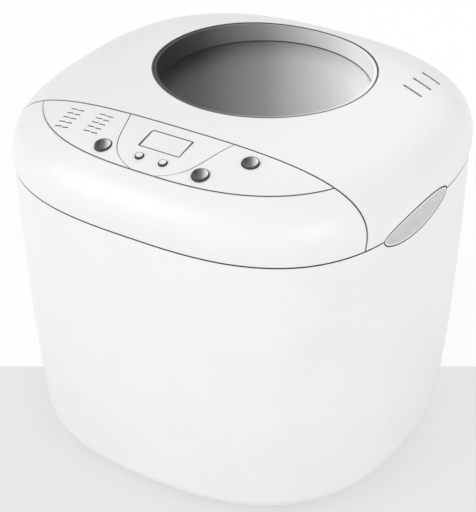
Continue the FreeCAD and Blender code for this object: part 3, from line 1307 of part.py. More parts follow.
def make_drive_pulley():
    """Spoked wheel: rim with two flanges, a thin web with round holes, and a hub up to the bearing."""
    rim_inner = DRIVE_PULLEY_RADIUS - PULLEY_WEB
    flange = DRIVE_PULLEY_RADIUS + PULLEY_FLANGE
    low, top, lip = PULLEY_LOW_Z, PULLEY_TOP, PULLEY_FLANGE_THICK
    web_low = (low + top - PULLEY_WEB) / 2
    web_top = web_low + PULLEY_WEB
    hub_top = HOUSING_LOW_Z - FIT
    wheel = turned([(SHAFT_RADIUS, low), (PULLEY_HUB_RADIUS, low), (PULLEY_HUB_RADIUS, web_low),
                    (rim_inner, web_low), (rim_inner, low), (flange, low), (flange, low + lip),
                    (DRIVE_PULLEY_RADIUS, low + lip),
                    (DRIVE_PULLEY_RADIUS, top - lip), (flange, top - lip), (flange, top), (rim_inner, top),
                    (rim_inner, web_top), (PULLEY_HUB_RADIUS, web_top), (PULLEY_HUB_RADIUS, hub_top),
                    (SHAFT_RADIUS, hub_top)], 0, OVEN_Y)
    for spoke in range(PULLEY_SPOKES):
        angle = 2 * math.pi * spoke / PULLEY_SPOKES
        x, y = PULLEY_HOLE_CIRCLE * math.cos(angle), OVEN_Y + PULLEY_HOLE_CIRCLE * math.sin(angle)
        wheel = wheel.cut(cylinder(PULLEY_HOLE_RADIUS, low, top, x, y))
    return wheel


def make_motor_pulley():
    low, top, lip = PULLEY_LOW_Z, PULLEY_TOP, PULLEY_FLANGE_THICK
    flange = MOTOR_PULLEY_RADIUS + PULLEY_FLANGE
    return turned([(MOTOR_SHAFT_RADIUS, low), (flange, low), (flange, low + lip),
                   (MOTOR_PULLEY_RADIUS, low + lip), (MOTOR_PULLEY_RADIUS, top - lip),
                   (flange, top - lip), (flange, top),
                   (MOTOR_SHAFT_RADIUS, top)], MOTOR_X, MOTOR_Y)


def belt_face(grow, z):
    """Area inside a loop round both pulleys, a distance outside their running faces."""
    drive, motor = Vector(0, OVEN_Y, z), Vector(MOTOR_X, MOTOR_Y, z)
    big, small = DRIVE_PULLEY_RADIUS + grow, MOTOR_PULLEY_RADIUS + grow
    line = motor - drive
    heading = math.atan2(line.y, line.x)
    lean = math.acos((big - small) / line.Length)

    def on(centre, radius, angle):
        return centre + Vector(radius * math.cos(angle), radius * math.sin(angle), 0)

    left, right = heading + lean, heading - lean
    far_side = on(drive, big, heading + math.pi)
    edges = [Part.Arc(on(drive, big, left), far_side, on(drive, big, right)).toShape(),
             Part.makeLine(on(drive, big, right), on(motor, small, right)),
             Part.Arc(on(motor, small, right), on(motor, small, heading), on(motor, small, left)).toShape(),
             Part.makeLine(on(motor, small, left), on(drive, big, left))]
    return Part.Face(Part.Wire(edges))


def make_drive_belt():
    z = PULLEY_LOW_Z + (PULLEY_WIDTH - BELT_WIDTH) / 2
    up = Vector(0, 0, BELT_WIDTH)
    return belt_face(BELT_CLEARANCE + BELT_THICK, z).extrude(up).cut(belt_face(BELT_CLEARANCE, z).extrude(up))


def make_shaft_nut():
    corners = []
    low = PULLEY_LOW_Z - NUT_HEIGHT
    reach = NUT_ACROSS / 2 / math.cos(math.pi / NUT_SIDES)
    for corner in range(NUT_SIDES):
        angle = 2 * math.pi * corner / NUT_SIDES
        corners.append(Vector(reach * math.cos(angle), OVEN_Y + reach * math.sin(angle), low))
    nut = polygon_prism(corners, Vector(0, 0, NUT_HEIGHT))
    return nut.cut(cylinder(SHAFT_RADIUS, 0, PULLEY_LOW_Z, 0, OVEN_Y))


def make_motor_core():
    """Stack of laminations with four flats."""
    low = MOTOR_LOW_Z + MOTOR_CAP_HEIGHT
    core = cylinder(MOTOR_RADIUS, low, low + MOTOR_CORE_HEIGHT, MOTOR_X, MOTOR_Y)
    flat = (MOTOR_RADIUS + MOTOR_CAP_RADIUS) / 2
    box = slab(low, low + MOTOR_CORE_HEIGHT, MOTOR_Y - flat, MOTOR_Y + flat, MOTOR_X - flat, MOTOR_X + flat)
    return core.common(box).cut(cylinder(CORE_BORE, low, low + MOTOR_CORE_HEIGHT, MOTOR_X, MOTOR_Y))


def motor_cap(low, way):
    """Domed end cap with its bearing bore; way 1 puts the open side up."""
    edge = MOTOR_CAP_HEIGHT / 3
    bore = MOTOR_SHAFT_RADIUS + SHAFT_CLEARANCE
    cap = turned([(bore, 0), (MOTOR_CAP_RADIUS - edge, 0), (MOTOR_CAP_RADIUS, edge),
                  (MOTOR_CAP_RADIUS, MOTOR_CAP_HEIGHT), (bore, MOTOR_CAP_HEIGHT)])
    if way < 0:
        cap.rotate(Vector(0, 0, MOTOR_CAP_HEIGHT / 2), X_AXIS, 180)
    cap.translate(Vector(MOTOR_X, MOTOR_Y, low))
    return cap


def make_motor_caps():
    lower = motor_cap(MOTOR_LOW_Z, 1)
    middle = Vector(MOTOR_X, MOTOR_Y, MOTOR_LOW_Z)
    for x, y in motor_ear_points():
        ear = cylinder(MOTOR_EAR_RADIUS, MOTOR_LOW_Z, MOTOR_LOW_Z + MOTOR_EAR_THICK, x, y)
        end = Vector(x, y, MOTOR_LOW_Z)
        along = (end - middle).normalize()
        across = Vector(-along.y, along.x, 0) * MOTOR_EAR_RADIUS
        start = middle + along * MOTOR_EAR_ROOT
        outline = [start - across, end - across, end + across, start + across]
        web = polygon_prism(outline, Vector(0, 0, MOTOR_EAR_THICK))
        lower = lower.fuse(ear.fuse(web))
    for x, y in motor_ear_points():
        lower = lower.cut(cylinder(SCREW_RADIUS, MOTOR_LOW_Z, MOTOR_LOW_Z + MOTOR_EAR_THICK, x, y))
    upper = motor_cap(MOTOR_TOP - MOTOR_CAP_HEIGHT, -1)
    return Part.makeCompound([lower, upper])


def make_motor_fan():
    low = MOTOR_TOP + FAN_GAP
    hub = ring(FAN_HUB_RADIUS, MOTOR_SHAFT_RADIUS, low, low + FAN_HEIGHT, MOTOR_X, MOTOR_Y)
    disc = ring(FAN_RADIUS, MOTOR_SHAFT_RADIUS, low, low + FAN_BLADE_THICK, MOTOR_X, MOTOR_Y)
    fan = hub.fuse(disc)
    for blade in range(FAN_BLADES):
        half = FAN_BLADE_THICK / 2
        vane = slab(low, low + FAN_HEIGHT, -half, half, FAN_BLADE_ROOT, FAN_RADIUS)
        vane.rotate(Vector(0, 0, 0), Z_AXIS, 360.0 * blade / FAN_BLADES)
        vane.translate(Vector(MOTOR_X, MOTOR_Y, 0))
        fan = fan.fuse(vane)
    return fan


def drive_parts():
    bore = SHAFT_RADIUS + SHAFT_CLEARANCE
    bushes = [ring(BUSH_RADIUS, bore, low, low + BUSH_LENGTH, 0, OVEN_Y)
              for low in (HOUSING_LOW_Z, HOUSING_TOP - BUSH_LENGTH)]
    grommets = [ring(GROMMET_RADIUS, SCREW_RADIUS, CHASSIS_TOP, MOTOR_LOW_Z, x, y)
                for x, y in motor_ear_points()]
    seat = MOTOR_LOW_Z + MOTOR_EAR_THICK
    motor_screws = screws(motor_ear_points(), seat, GROMMET_HEIGHT + MOTOR_EAR_THICK + CHASSIS_THICK, -1)
    motor_shaft_top = MOTOR_TOP + SHAFT_TOP_RISE
    return {
        "chassis_plate": make_chassis_plate(),
        "bearing_housing": make_bearing_housing(),
        "shaft_bushes": Part.makeCompound(bushes),
        "drive_shaft": cylinder(SHAFT_RADIUS, DRIVE_LOW_Z, DRIVE_HUB_TOP, 0, OVEN_Y),
        "drive_coupling": coupling(DRIVE_HUB_LOW, DRIVE_HUB_TOP, DRIVE_HUB_TOP,
                                   DRIVE_HUB_TOP + COUPLING_DOG_HEIGHT, 0.0),
        "drive_pulley": make_drive_pulley(),
        "shaft_nut": make_shaft_nut(),
        "drive_belt": make_drive_belt(),
        "motor_pulley": make_motor_pulley(),
        "motor_shaft": cylinder(MOTOR_SHAFT_RADIUS, PULLEY_LOW_Z, motor_shaft_top, MOTOR_X, MOTOR_Y),
        "motor_fan": make_motor_fan(),
        "motor_core": make_motor_core(),
        "motor_caps": make_motor_caps(),
        "motor_mounts": Part.makeCompound(grommets + motor_screws.Solids),
    }


def board_box(size, x, z):
    """Block standing on the front of the power board, its low left corner at x, z."""
    front = POWER_BOARD_Y - POWER_BOARD_THICK
    return slab(z, z + size[2], front - size[1], front, x, x + size[0])


def power_board_sides():
    return POWER_BOARD_X - POWER_BOARD_HALF_X, POWER_BOARD_X + POWER_BOARD_HALF_X


def board_bracket():
    """Tab bent up from the chassis behind the power board."""
    top = CHASSIS_TOP + BRACKET_HEIGHT
    return slab(CHASSIS_Z, top, POWER_BOARD_Y, POWER_BOARD_Y + BRACKET_THICK, *power_board_sides())


def make_power_board():
    top = CHASSIS_TOP + POWER_BOARD_HEIGHT
    return slab(CHASSIS_TOP, top, POWER_BOARD_Y - POWER_BOARD_THICK, POWER_BOARD_Y, *power_board_sides())


def make_board_components():
    """Transformer at the foot of the board and a relay above it."""
    left = power_board_sides()[0] + RELAY_GAP
    low = CHASSIS_TOP + RELAY_GAP
    relay_low = low + TRANSFORMER_SIZE[2] + RELAY_GAP
    return Part.makeCompound([board_box(TRANSFORMER_SIZE, left, low), board_box(RELAY_SIZE, left, relay_low)])


def electric_parts():
    can_top = CHASSIS_TOP + CAPACITOR_HEIGHT
    return {
        "power_board": make_power_board(),
        "board_components": make_board_components(),
        "motor_capacitor": cylinder(CAPACITOR_RADIUS, CHASSIS_TOP, can_top, CAPACITOR_X, CAPACITOR_Y),
    }


GROUPS = (casing_parts, lid_parts, control_parts, oven_parts, pan_parts, drive_parts, electric_parts)


def build():
    os.makedirs("parts", exist_ok=True)
    for group in GROUPS:
        for name, shape in group().items():
            shape.exportStep("parts/" + name + ".step")
            print(name, len(shape.Solids), "solid", round(shape.Volume / MM3_PER_CM3, 1), "cm3", shape.isValid())


build()
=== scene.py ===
# %% [markdown]
# A table-top bread machine in white moulded plastic. The solid pieces come from the frame, in
# metres and in place, so this lesson only adds what a solid model cannot say: how each surface
# is finished, the small marks printed on the panel, and the studio round the machine. Each step
# says first what the real thing is, then how it could be made, and why this way was chosen.

import functools
import json
import math

import bmesh
import bpy
from mathutils import Matrix, Vector
from mathutils.bvhtree import BVHTree


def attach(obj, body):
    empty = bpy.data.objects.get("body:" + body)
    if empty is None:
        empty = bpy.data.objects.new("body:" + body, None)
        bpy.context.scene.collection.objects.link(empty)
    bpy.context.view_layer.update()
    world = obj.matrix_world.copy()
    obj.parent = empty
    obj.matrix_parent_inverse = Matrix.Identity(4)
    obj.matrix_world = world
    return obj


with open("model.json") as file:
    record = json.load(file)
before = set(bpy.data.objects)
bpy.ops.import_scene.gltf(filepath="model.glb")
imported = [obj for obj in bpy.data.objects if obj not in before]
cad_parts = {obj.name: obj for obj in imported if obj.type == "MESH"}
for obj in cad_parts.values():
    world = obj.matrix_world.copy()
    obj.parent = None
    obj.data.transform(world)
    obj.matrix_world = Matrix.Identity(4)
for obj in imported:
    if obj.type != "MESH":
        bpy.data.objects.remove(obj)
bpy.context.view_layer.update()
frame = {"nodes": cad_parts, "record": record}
scene = bpy.context.scene

# %% [markdown]
# The camera comes first, because everything after it is judged through it. The picture was drawn
# with a long lens from the right front, looking down on the lid. The angle, the distance and the
# focal length could be found by eye, but they were solved from the outline of the tub and the oval
# of the window, so they are written as plain numbers. The camera looks back along its own offset
# from the target point.

# %% Place the camera
IMAGE_HEIGHT = 512
CAMERA_AZIMUTH = math.radians(31.495)
CAMERA_ELEVATION = math.radians(32.861)
CAMERA_DISTANCE = 1.286736
CAMERA_SIDE_STEP = -0.005475
CAMERA_TARGET_HEIGHT = 0.137549
FOCAL_PIXELS = 1574.379
SENSOR_HEIGHT = 36.0

view_right = Vector((math.cos(CAMERA_AZIMUTH), math.sin(CAMERA_AZIMUTH), 0.0))
view_away = Vector((-math.sin(CAMERA_AZIMUTH), math.cos(CAMERA_AZIMUTH), 0.0))
view_back = Vector((0.0, 0.0, math.sin(CAMERA_ELEVATION))) - view_away * math.cos(CAMERA_ELEVATION)
target = view_right * CAMERA_SIDE_STEP + Vector((0.0, 0.0, CAMERA_TARGET_HEIGHT))

lens = bpy.data.cameras.new("studio_camera")
lens.sensor_fit = "VERTICAL"
lens.sensor_height = SENSOR_HEIGHT
lens.lens = FOCAL_PIXELS * SENSOR_HEIGHT / IMAGE_HEIGHT
camera = bpy.data.objects.new("studio_camera", lens)
camera.location = target + view_back * CAMERA_DISTANCE
camera.rotation_euler = view_back.to_track_quat("Z", "Y").to_euler()
scene.collection.objects.link(camera)
scene.camera = camera
print("camera at", [round(v, 3) for v in camera.location], "lens", round(lens.lens, 1))

# %% [markdown]
# White plastic on a white ground only reads if the light is soft and uneven. One sun would draw
# hard shadows, so there are three large area lamps: the key one from the left front, a weaker one
# from the right, and one from behind that draws the edge of the lid. The world adds an even base.
# All three point straight at the target, so one small function makes them.

# %% Lamps and world
LAMPS = {
    "key_lamp": ((-1.20, -1.70, 1.15), 1.6, 18.0),
    "side_lamp": ((1.90, -0.90, 1.00), 1.4, 14.0),
    "back_lamp": ((-0.20, 1.60, 1.70), 1.4, 9.0),
}
WORLD_WHITE = (1.0, 1.0, 1.0, 1.0)
WORLD_LEVEL = 0.66


def add_lamp(name, place, width, watts):
    lamp = bpy.data.lights.new(name, "AREA")
    lamp.shape = "SQUARE"
    lamp.size = width
    lamp.energy = watts
    holder = bpy.data.objects.new(name, lamp)
    holder.location = place
    holder.rotation_euler = (Vector(place) - target).to_track_quat("Z", "Y").to_euler()
    scene.collection.objects.link(holder)


for lamp_name, (place, width, watts) in LAMPS.items():
    add_lamp(lamp_name, place, width, watts)

scene.view_settings.view_transform = "Standard"
scene.world = bpy.data.worlds.new("studio_world")
scene.world.use_nodes = True
sky = scene.world.node_tree.nodes["Background"]
sky.inputs["Color"].default_value = WORLD_WHITE
sky.inputs["Strength"].default_value = WORLD_LEVEL
print("lamps:", ", ".join(LAMPS))

# %% [markdown]
# Every finish below is a node material on Object coordinates, which are metres here, so a noise
# of scale 1000 has a grain of about a millimetre. Building each tree by hand in the editor would
# take long, so a few helpers keep the node code short: they start a material, add a node and fill
# its sockets, run a sum on numbers or vectors, and blend or grade colours.

# %% Helpers for node materials
NOISE_HOLLOW = 0.3
NOISE_CREST = 0.7


def start_finish(name):
    """A material with its shader, and the socket that gives Object coordinates."""
    material = bpy.data.materials.new(name)
    material.use_nodes = True
    tree = material.node_tree
    coords = tree.nodes.new("ShaderNodeTexCoord")
    return material, tree, tree.nodes["Principled BSDF"], coords.outputs["Object"]


def pattern(tree, kind, place, **sockets):
    """A texture node that reads a place, with its other sockets filled by name."""
    node = tree.nodes.new(kind)
    for name, value in sockets.items():
        node.inputs[name].default_value = value
    tree.links.new(place, node.inputs["Vector"])
    return node


def ramp(tree, source, stops):
    """Colours along a value: stops are (position, colour) pairs in rising order."""
    node = tree.nodes.new("ShaderNodeValToRGB")
    elements = node.color_ramp.elements
    while len(elements) < len(stops):
        elements.new(0.5)
    for element, (position, colour) in zip(elements, stops):
        element.position = position
        element.color = (*colour, 1.0)
    tree.links.new(source, node.inputs["Fac"])
    return node.outputs["Color"]


def number(tree, operation, *values):
    """A sum on numbers, each a socket or a plain value."""
    node = tree.nodes.new("ShaderNodeMath")
    node.operation = operation
    for socket, value in zip(node.inputs, values):
        if isinstance(value, bpy.types.NodeSocket):
            tree.links.new(value, socket)
        else:
            socket.default_value = value
    return node.outputs[0]


def along(tree, place, direction):
    """How far a place lies along a direction."""
    node = tree.nodes.new("ShaderNodeVectorMath")
    node.operation = "DOT_PRODUCT"
    node.inputs[1].default_value = direction
    tree.links.new(place, node.inputs[0])
    return node.outputs["Value"]


def blend_colours(tree, share, colour, other):
    """A colour socket that turns into another fixed colour as a share goes from 0 to 1."""
    mix = tree.nodes.new("ShaderNodeMix")
    mix.data_type = "RGBA"
    tree.links.new(share, mix.inputs[0])
    tree.links.new(colour, mix.inputs[6])
    mix.inputs[7].default_value = (*other, 1.0)
    return mix.outputs[2]


def grain_lift(tree, shader, height, strength, distance):
    """Lifts a fine relief on the shader from a height socket."""
    bump = tree.nodes.new("ShaderNodeBump")
    bump.inputs["Strength"].default_value = strength
    bump.inputs["Distance"].default_value = distance
    tree.links.new(height, bump.inputs["Height"])
    tree.links.new(bump.outputs["Normal"], shader.inputs["Normal"])


def vary_gloss(tree, shader, value, roughness, spread):
    """Roughness that moves with a value by a spread to each side."""
    moved = number(tree, "MULTIPLY_ADD", value, 2.0 * spread, roughness - spread)
    tree.links.new(moved, shader.inputs["Roughness"])


def tinted(colour, share):
    """A colour made lighter or darker by a share of itself."""
    return tuple(min(1.0, channel * (1.0 + share)) for channel in colour)


def two_shades(colour, darker, lighter):
    """Stops for a noise: a darker shade in its hollows and a lighter one on its crests."""
    return [(NOISE_HOLLOW, tinted(colour, -darker)), (NOISE_CREST, tinted(colour, lighter))]


print("helpers ready")

# %% [markdown]
# The machine stands on a pale grey table top, with a white wall behind it. Two sheets could meet
# there, but one large sheet is simpler and has no corner to shade: it is grey near the camera and
# white far off, with a straight line between them behind the middle of the machine, square to the
# view. Part of what the camera sees is the sheet's own colour, at full strength, and part is
# lit, so the ground stays pale and still carries the soft shadow under the tub.

# %% Floor
FLOOR_HALF = 5.0
FLOOR_GAP = 0.0001
FLOOR_GREY = (0.815, 0.815, 0.815)
FLOOR_WHITE = (1.0, 1.0, 1.0)
FLOOR_LINE = 0.0327
FLOOR_EDGE = 0.0015
OWN_COLOUR_SHARE = 0.72


def piece_from(bm, name, finish):
    """A finished bmesh as an object at the origin, with its material."""
    mesh = bpy.data.meshes.new(name)
    bm.to_mesh(mesh)
    bm.free()
    mesh.materials.append(finish)
    piece = bpy.data.objects.new(name, mesh)
    scene.collection.objects.link(piece)
    return piece


def make_floor():
    """One square sheet, a hair below the feet so that no two faces share a place."""
    bm = bmesh.new()
    bmesh.ops.create_grid(bm, x_segments=1, y_segments=1, size=FLOOR_HALF)
    bmesh.ops.translate(bm, verts=bm.verts[:], vec=(0.0, 0.0, -FLOOR_GAP))
    return piece_from(bm, "floor", floor_finish())


def floor_finish():
    material, tree, shader, place = start_finish("floor_sheet")
    depth = along(tree, place, view_away)
    step = number(tree, "MULTIPLY_ADD", depth, 1.0 / FLOOR_EDGE, -FLOOR_LINE / FLOOR_EDGE)
    colour = ramp(tree, step, [(0.0, FLOOR_GREY), (1.0, FLOOR_WHITE)])
    own = tree.nodes.new("ShaderNodeEmission")
    lit = tree.nodes.new("ShaderNodeBsdfDiffuse")
    mix = tree.nodes.new("ShaderNodeMixShader")
    path = tree.nodes.new("ShaderNodeLightPath")
    seen = path.outputs["Is Camera Ray"]
    for kind in ("Is Glossy Ray", "Is Transmission Ray"):
        seen = number(tree, "MAXIMUM", seen, path.outputs[kind])
    for node in (own, lit):
        tree.links.new(colour, node.inputs["Color"])
    tree.links.new(number(tree, "MULTIPLY", seen, OWN_COLOUR_SHARE), mix.inputs[0])
    tree.links.new(lit.outputs[0], mix.inputs[1])
    tree.links.new(own.outputs[0], mix.inputs[2])
    tree.nodes.remove(shader)
    tree.links.new(mix.outputs[0], tree.nodes["Material Output"].inputs["Surface"])
    return material


floor = make_floor()
print("floor half size", FLOOR_HALF)

# %% [markdown]
# Most plastics, metals and rubbers differ only in colour, gloss and grain, so one function makes
# them. Noise moves the colour and the roughness a little and lifts a fine grain, as moulding and
# handling do. Stretching the noise turns the same grain into the lines of brushed sheet.

# %% One function for plain finishes
PLAIN_GRAIN = 900.0
PLAIN_DEPTH = 0.00002
PLAIN_TONE = 0.05
PLAIN_SPREAD = 0.08
PLAIN_STRENGTH = 0.35
EVEN = (1.0, 1.0, 1.0)
BRUSHED = (1.0, 1.0, 14.0)


def plain_finish(name, colour, roughness, metallic=0.0, grain=PLAIN_GRAIN, depth=PLAIN_DEPTH,
                 tone=PLAIN_TONE, spread=PLAIN_SPREAD, stretch=EVEN):
    """A colour with its gloss, both moved a little by one noise, which also lifts the grain."""
    material, tree, shader, place = start_finish(name)
    scaled = pattern(tree, "ShaderNodeMapping", place, Scale=stretch)
    noise = pattern(tree, "ShaderNodeTexNoise", scaled.outputs["Vector"], Scale=grain, Detail=4.0)
    value = noise.outputs["Fac"]
    tree.links.new(ramp(tree, value, two_shades(colour, tone, tone)), shader.inputs["Base Color"])
    vary_gloss(tree, shader, value, roughness, spread)
    grain_lift(tree, shader, value, PLAIN_STRENGTH, depth)
    shader.inputs["Metallic"].default_value = metallic
    return material


finishes = {
    "white_inner": plain_finish("white_inner", (0.74, 0.74, 0.73), 0.5),
    "display_grey": plain_finish("display_grey", (0.72, 0.73, 0.72), 0.40, tone=0.02),
    "rubber": plain_finish("rubber", (0.028, 0.028, 0.03), 0.75, grain=1600.0, depth=0.00005),
    "silicone": plain_finish("silicone", (0.045, 0.043, 0.043), 0.55),
    "black_plastic": plain_finish("black_plastic", (0.018, 0.018, 0.02), 0.5),
    "ceramic": plain_finish("ceramic", (0.78, 0.74, 0.64), 0.6, grain=2500.0, depth=0.00004),
    "capacitor_can": plain_finish("capacitor_can", (0.70, 0.70, 0.68), 0.38),
    "panel_print": plain_finish("panel_print", (0.05, 0.05, 0.055), 0.6),
    "zinc_steel": plain_finish("zinc_steel", (0.55, 0.56, 0.57), 0.38, 1.0, grain=300.0, tone=0.10),
    "oven_steel": plain_finish("oven_steel", (0.58, 0.585, 0.59), 0.37, 1.0, grain=400.0, tone=0.08,
                               stretch=BRUSHED),
    "shaft_steel": plain_finish("shaft_steel", (0.66, 0.67, 0.69), 0.14, 1.0, grain=700.0, tone=0.03,
                                spread=0.04),
    "sensor_metal": plain_finish("sensor_metal", (0.60, 0.60, 0.61), 0.38, 1.0),
    "cast_alloy": plain_finish("cast_alloy", (0.52, 0.53, 0.54), 0.45, 1.0, grain=700.0, depth=0.00008,
                               tone=0.08),
    "bronze": plain_finish("bronze", (0.50, 0.30, 0.11), 0.38, 1.0),
    "element_sheath": plain_finish("element_sheath", (0.075, 0.065, 0.06), 0.5, 0.6, grain=500.0,
                                   tone=0.25),
}
print("plain finishes:", len(finishes))

# %% [markdown]
# A few round things on the machine get a dark line of painted shade: the rim of the window, the
# mouth of each finger recess, and the edge of each button, where the gap round it lies in shade.
# Such a line could be a thin solid of its own, but it has no thickness to speak of, so the shade is
# painted: a share picks the points near it, and the colour stays as it was everywhere else. A ring
# goes by the distance from an axis. The panel slopes, so its buttons are measured along the panel's
# own axes. A recess has an oval mouth: its share of the oval's size is turned into a distance by
# how fast that share grows there.

# %% Rings of painted shade
# Colour of the painted shade in the gaps round the window, the finger recesses and the buttons.
RIM_SHADE_DARK = (0.045, 0.045, 0.047)
PANEL_TILT = math.radians(12.0)
ACROSS = Vector((1.0, 0.0, 0.0))
DEEP = Vector((0.0, 1.0, 0.0))
UP = Vector((0.0, 0.0, 1.0))
PANEL_AXES = (ACROSS, Vector((0.0, math.cos(PANEL_TILT), math.sin(PANEL_TILT))))
PANEL_OUT = PANEL_AXES[0].cross(PANEL_AXES[1])
RECESS_CENTRE = Vector((0.0, -0.024, 0.240))
RECESS_HALVES = (0.045, 0.0117)
RECESS_SHADE_LINE = 0.0008
WINDOW_CENTRE = Vector((0.0, 0.030, 0.0))
WINDOW_SHADE_RING = (0.0866, 0.0882)


def extent(node, axis):
    """Lowest and highest place of a solid piece along an axis."""
    places = [vertex.co.dot(axis) for vertex in frame["nodes"][node].data.vertices]
    return min(places), max(places)


def offset_along(tree, place, centre, axis):
    """How far a place lies from a centre along an axis."""
    return number(tree, "SUBTRACT", along(tree, place, axis), centre.dot(axis))


def length_of(tree, first, second):
    """The length of the two sides of a right angle, taken across it."""
    squares = [number(tree, "MULTIPLY", side, side) for side in (first, second)]
    return number(tree, "SQRT", number(tree, "ADD", *squares))


def ring_share(tree, place, centre, axes, radii):
    """1 in the ring between two radii round a centre, in the plane of two axes, and 0 elsewhere."""
    distance = length_of(tree, *[offset_along(tree, place, centre, axis) for axis in axes])
    beyond = number(tree, "GREATER_THAN", distance, radii[0])
    return number(tree, "MULTIPLY", beyond, number(tree, "LESS_THAN", distance, radii[1]))


def window_rim_shade(tree, place):
    """1 along the rim of the window, on the lid and on the collar, where shade is painted, and 0
    elsewhere.
    """
    return ring_share(tree, place, WINDOW_CENTRE, (ACROSS, DEEP), WINDOW_SHADE_RING)


def recess_mouth_shade(tree, place):
    """1 along the oval mouth of a finger recess, where shade is painted, and 0 elsewhere."""
    offsets = [offset_along(tree, place, RECESS_CENTRE, axis) for axis in (DEEP, UP)]
    shares = [number(tree, "DIVIDE", offset, half) for offset, half in zip(offsets, RECESS_HALVES)]
    growth = [number(tree, "DIVIDE", share, half) for share, half in zip(shares, RECESS_HALVES)]
    size = length_of(tree, *shares)
    past = number(tree, "MULTIPLY", number(tree, "SUBTRACT", size, 1.0), size)
    distance = number(tree, "DIVIDE", past, length_of(tree, *growth))
    return number(tree, "LESS_THAN", number(tree, "ABSOLUTE", distance), RECESS_SHADE_LINE)


print("panel faces:", [round(v, 3) for v in PANEL_OUT])

# %% [markdown]
# The casing is glossy white plastic. Three things keep it from looking like paper: a very fine
# spark-eroded grain, a slow waviness of the gloss, and painted shade along each joint between the
# pieces. The joints are real gaps of about a millimetre, too narrow to show from a step away. Two
# nodes paint the shade into the colour: ambient occlusion knows how closed in a point is and
# darkens what lies inside a gap, and the bevel node feels a sharp edge near by and paints a thin
# shade along it.

# %% White casing plastic, with painted shade in its gaps and along its edges
CASING_WHITE = (0.86, 0.86, 0.855)
CASING_TONES = (0.015, 0.01)
CASING_ROUGHNESS = 0.37
CASING_SPREAD = 0.06
CASING_GRAIN = 2200.0
CASING_WAVES = 22.0
CASING_STRENGTH = 0.25
CASING_DEPTH = 0.00001
GAP_SHADE_REACH = 0.003
GAP_SHADE_STOPS = [(0.40, (1.0, 1.0, 1.0)), (0.80, (0.0, 0.0, 0.0))]
GAP_SHADE_DARK = (0.06, 0.06, 0.065)
GAP_SHADE_SAMPLES = 8
EDGE_SHADE_REACH = 0.00042
EDGE_SHADE_STOPS = [(0.84, (1.0, 1.0, 1.0)), (0.985, (0.0, 0.0, 0.0))]
EDGE_SHADE_SAMPLES = 6


def edge_shade_share(tree):
    """A share that is 1 along a sharp edge, where a thin shade is painted, and 0 away from it."""
    rounded = tree.nodes.new("ShaderNodeBevel")
    rounded.samples = EDGE_SHADE_SAMPLES
    rounded.inputs["Radius"].default_value = EDGE_SHADE_REACH
    surface = tree.nodes.new("ShaderNodeNewGeometry")
    turn = tree.nodes.new("ShaderNodeVectorMath")
    turn.operation = "DOT_PRODUCT"
    tree.links.new(rounded.outputs["Normal"], turn.inputs[0])
    tree.links.new(surface.outputs["Normal"], turn.inputs[1])
    return ramp(tree, turn.outputs["Value"], EDGE_SHADE_STOPS)


def casing_finish(name, shade_line=None):
    """White plastic with shade painted in its gaps and along sharp edges, and where a function of the
    place gives a share of 1.
    """
    material, tree, shader, place = start_finish(name)
    fine = pattern(tree, "ShaderNodeTexNoise", place, Scale=CASING_GRAIN, Detail=2.0)
    slow = pattern(tree, "ShaderNodeTexNoise", place, Scale=CASING_WAVES, Detail=3.0)
    colour = ramp(tree, slow.outputs["Fac"], two_shades(CASING_WHITE, *CASING_TONES))
    if shade_line:
        colour = blend_colours(tree, shade_line(tree, place), colour, RIM_SHADE_DARK)
    # Painted shade: ambient occlusion darkens the inside of gaps, the bevel node the sharp edges.
    closed = tree.nodes.new("ShaderNodeAmbientOcclusion")
    closed.samples = GAP_SHADE_SAMPLES
    closed.inputs["Distance"].default_value = GAP_SHADE_REACH
    painted_gap_shade = number(tree, "MAXIMUM", ramp(tree, closed.outputs["AO"], GAP_SHADE_STOPS), edge_shade_share(tree))
    tree.links.new(blend_colours(tree, painted_gap_shade, colour, GAP_SHADE_DARK), shader.inputs["Base Color"])
    vary_gloss(tree, shader, slow.outputs["Fac"], CASING_ROUGHNESS, CASING_SPREAD)
    grain_lift(tree, shader, fine.outputs["Fac"], CASING_STRENGTH, CASING_DEPTH)
    return material


finishes["white_gloss"] = casing_finish("white_gloss")
# The tub and the lid also get a ring of painted shade, round the recess mouths and the window.
finishes["tub_white"] = casing_finish("tub_white", recess_mouth_shade)
finishes["lid_white"] = casing_finish("lid_white", window_rim_shade)
print("casing finishes made")

# %% [markdown]
# The window well is dark at its left and fades to light at its right: one graded ramp runs across
# both the collar and the smoked pane, and in small across each dark push button. The ramp is painted
# shade at the left and painted light at the right, and on the pane its light end is a painted
# reflection. It could be left to real shade and reflections, but those would change with the room.
# A ramp along one direction of the object stays put when the camera moves. The gloss is kept soft
# enough that the wall of the well does not mirror as a hard arc in the pane.

# %% Painted shade and light across the window and the dark buttons
SHADE_GRADIENT_ANGLE = math.radians(31.5)
SHADE_GRADIENT_ACROSS = Vector((math.cos(SHADE_GRADIENT_ANGLE), math.sin(SHADE_GRADIENT_ANGLE), 0.0))
WINDOW_REACH = 0.088
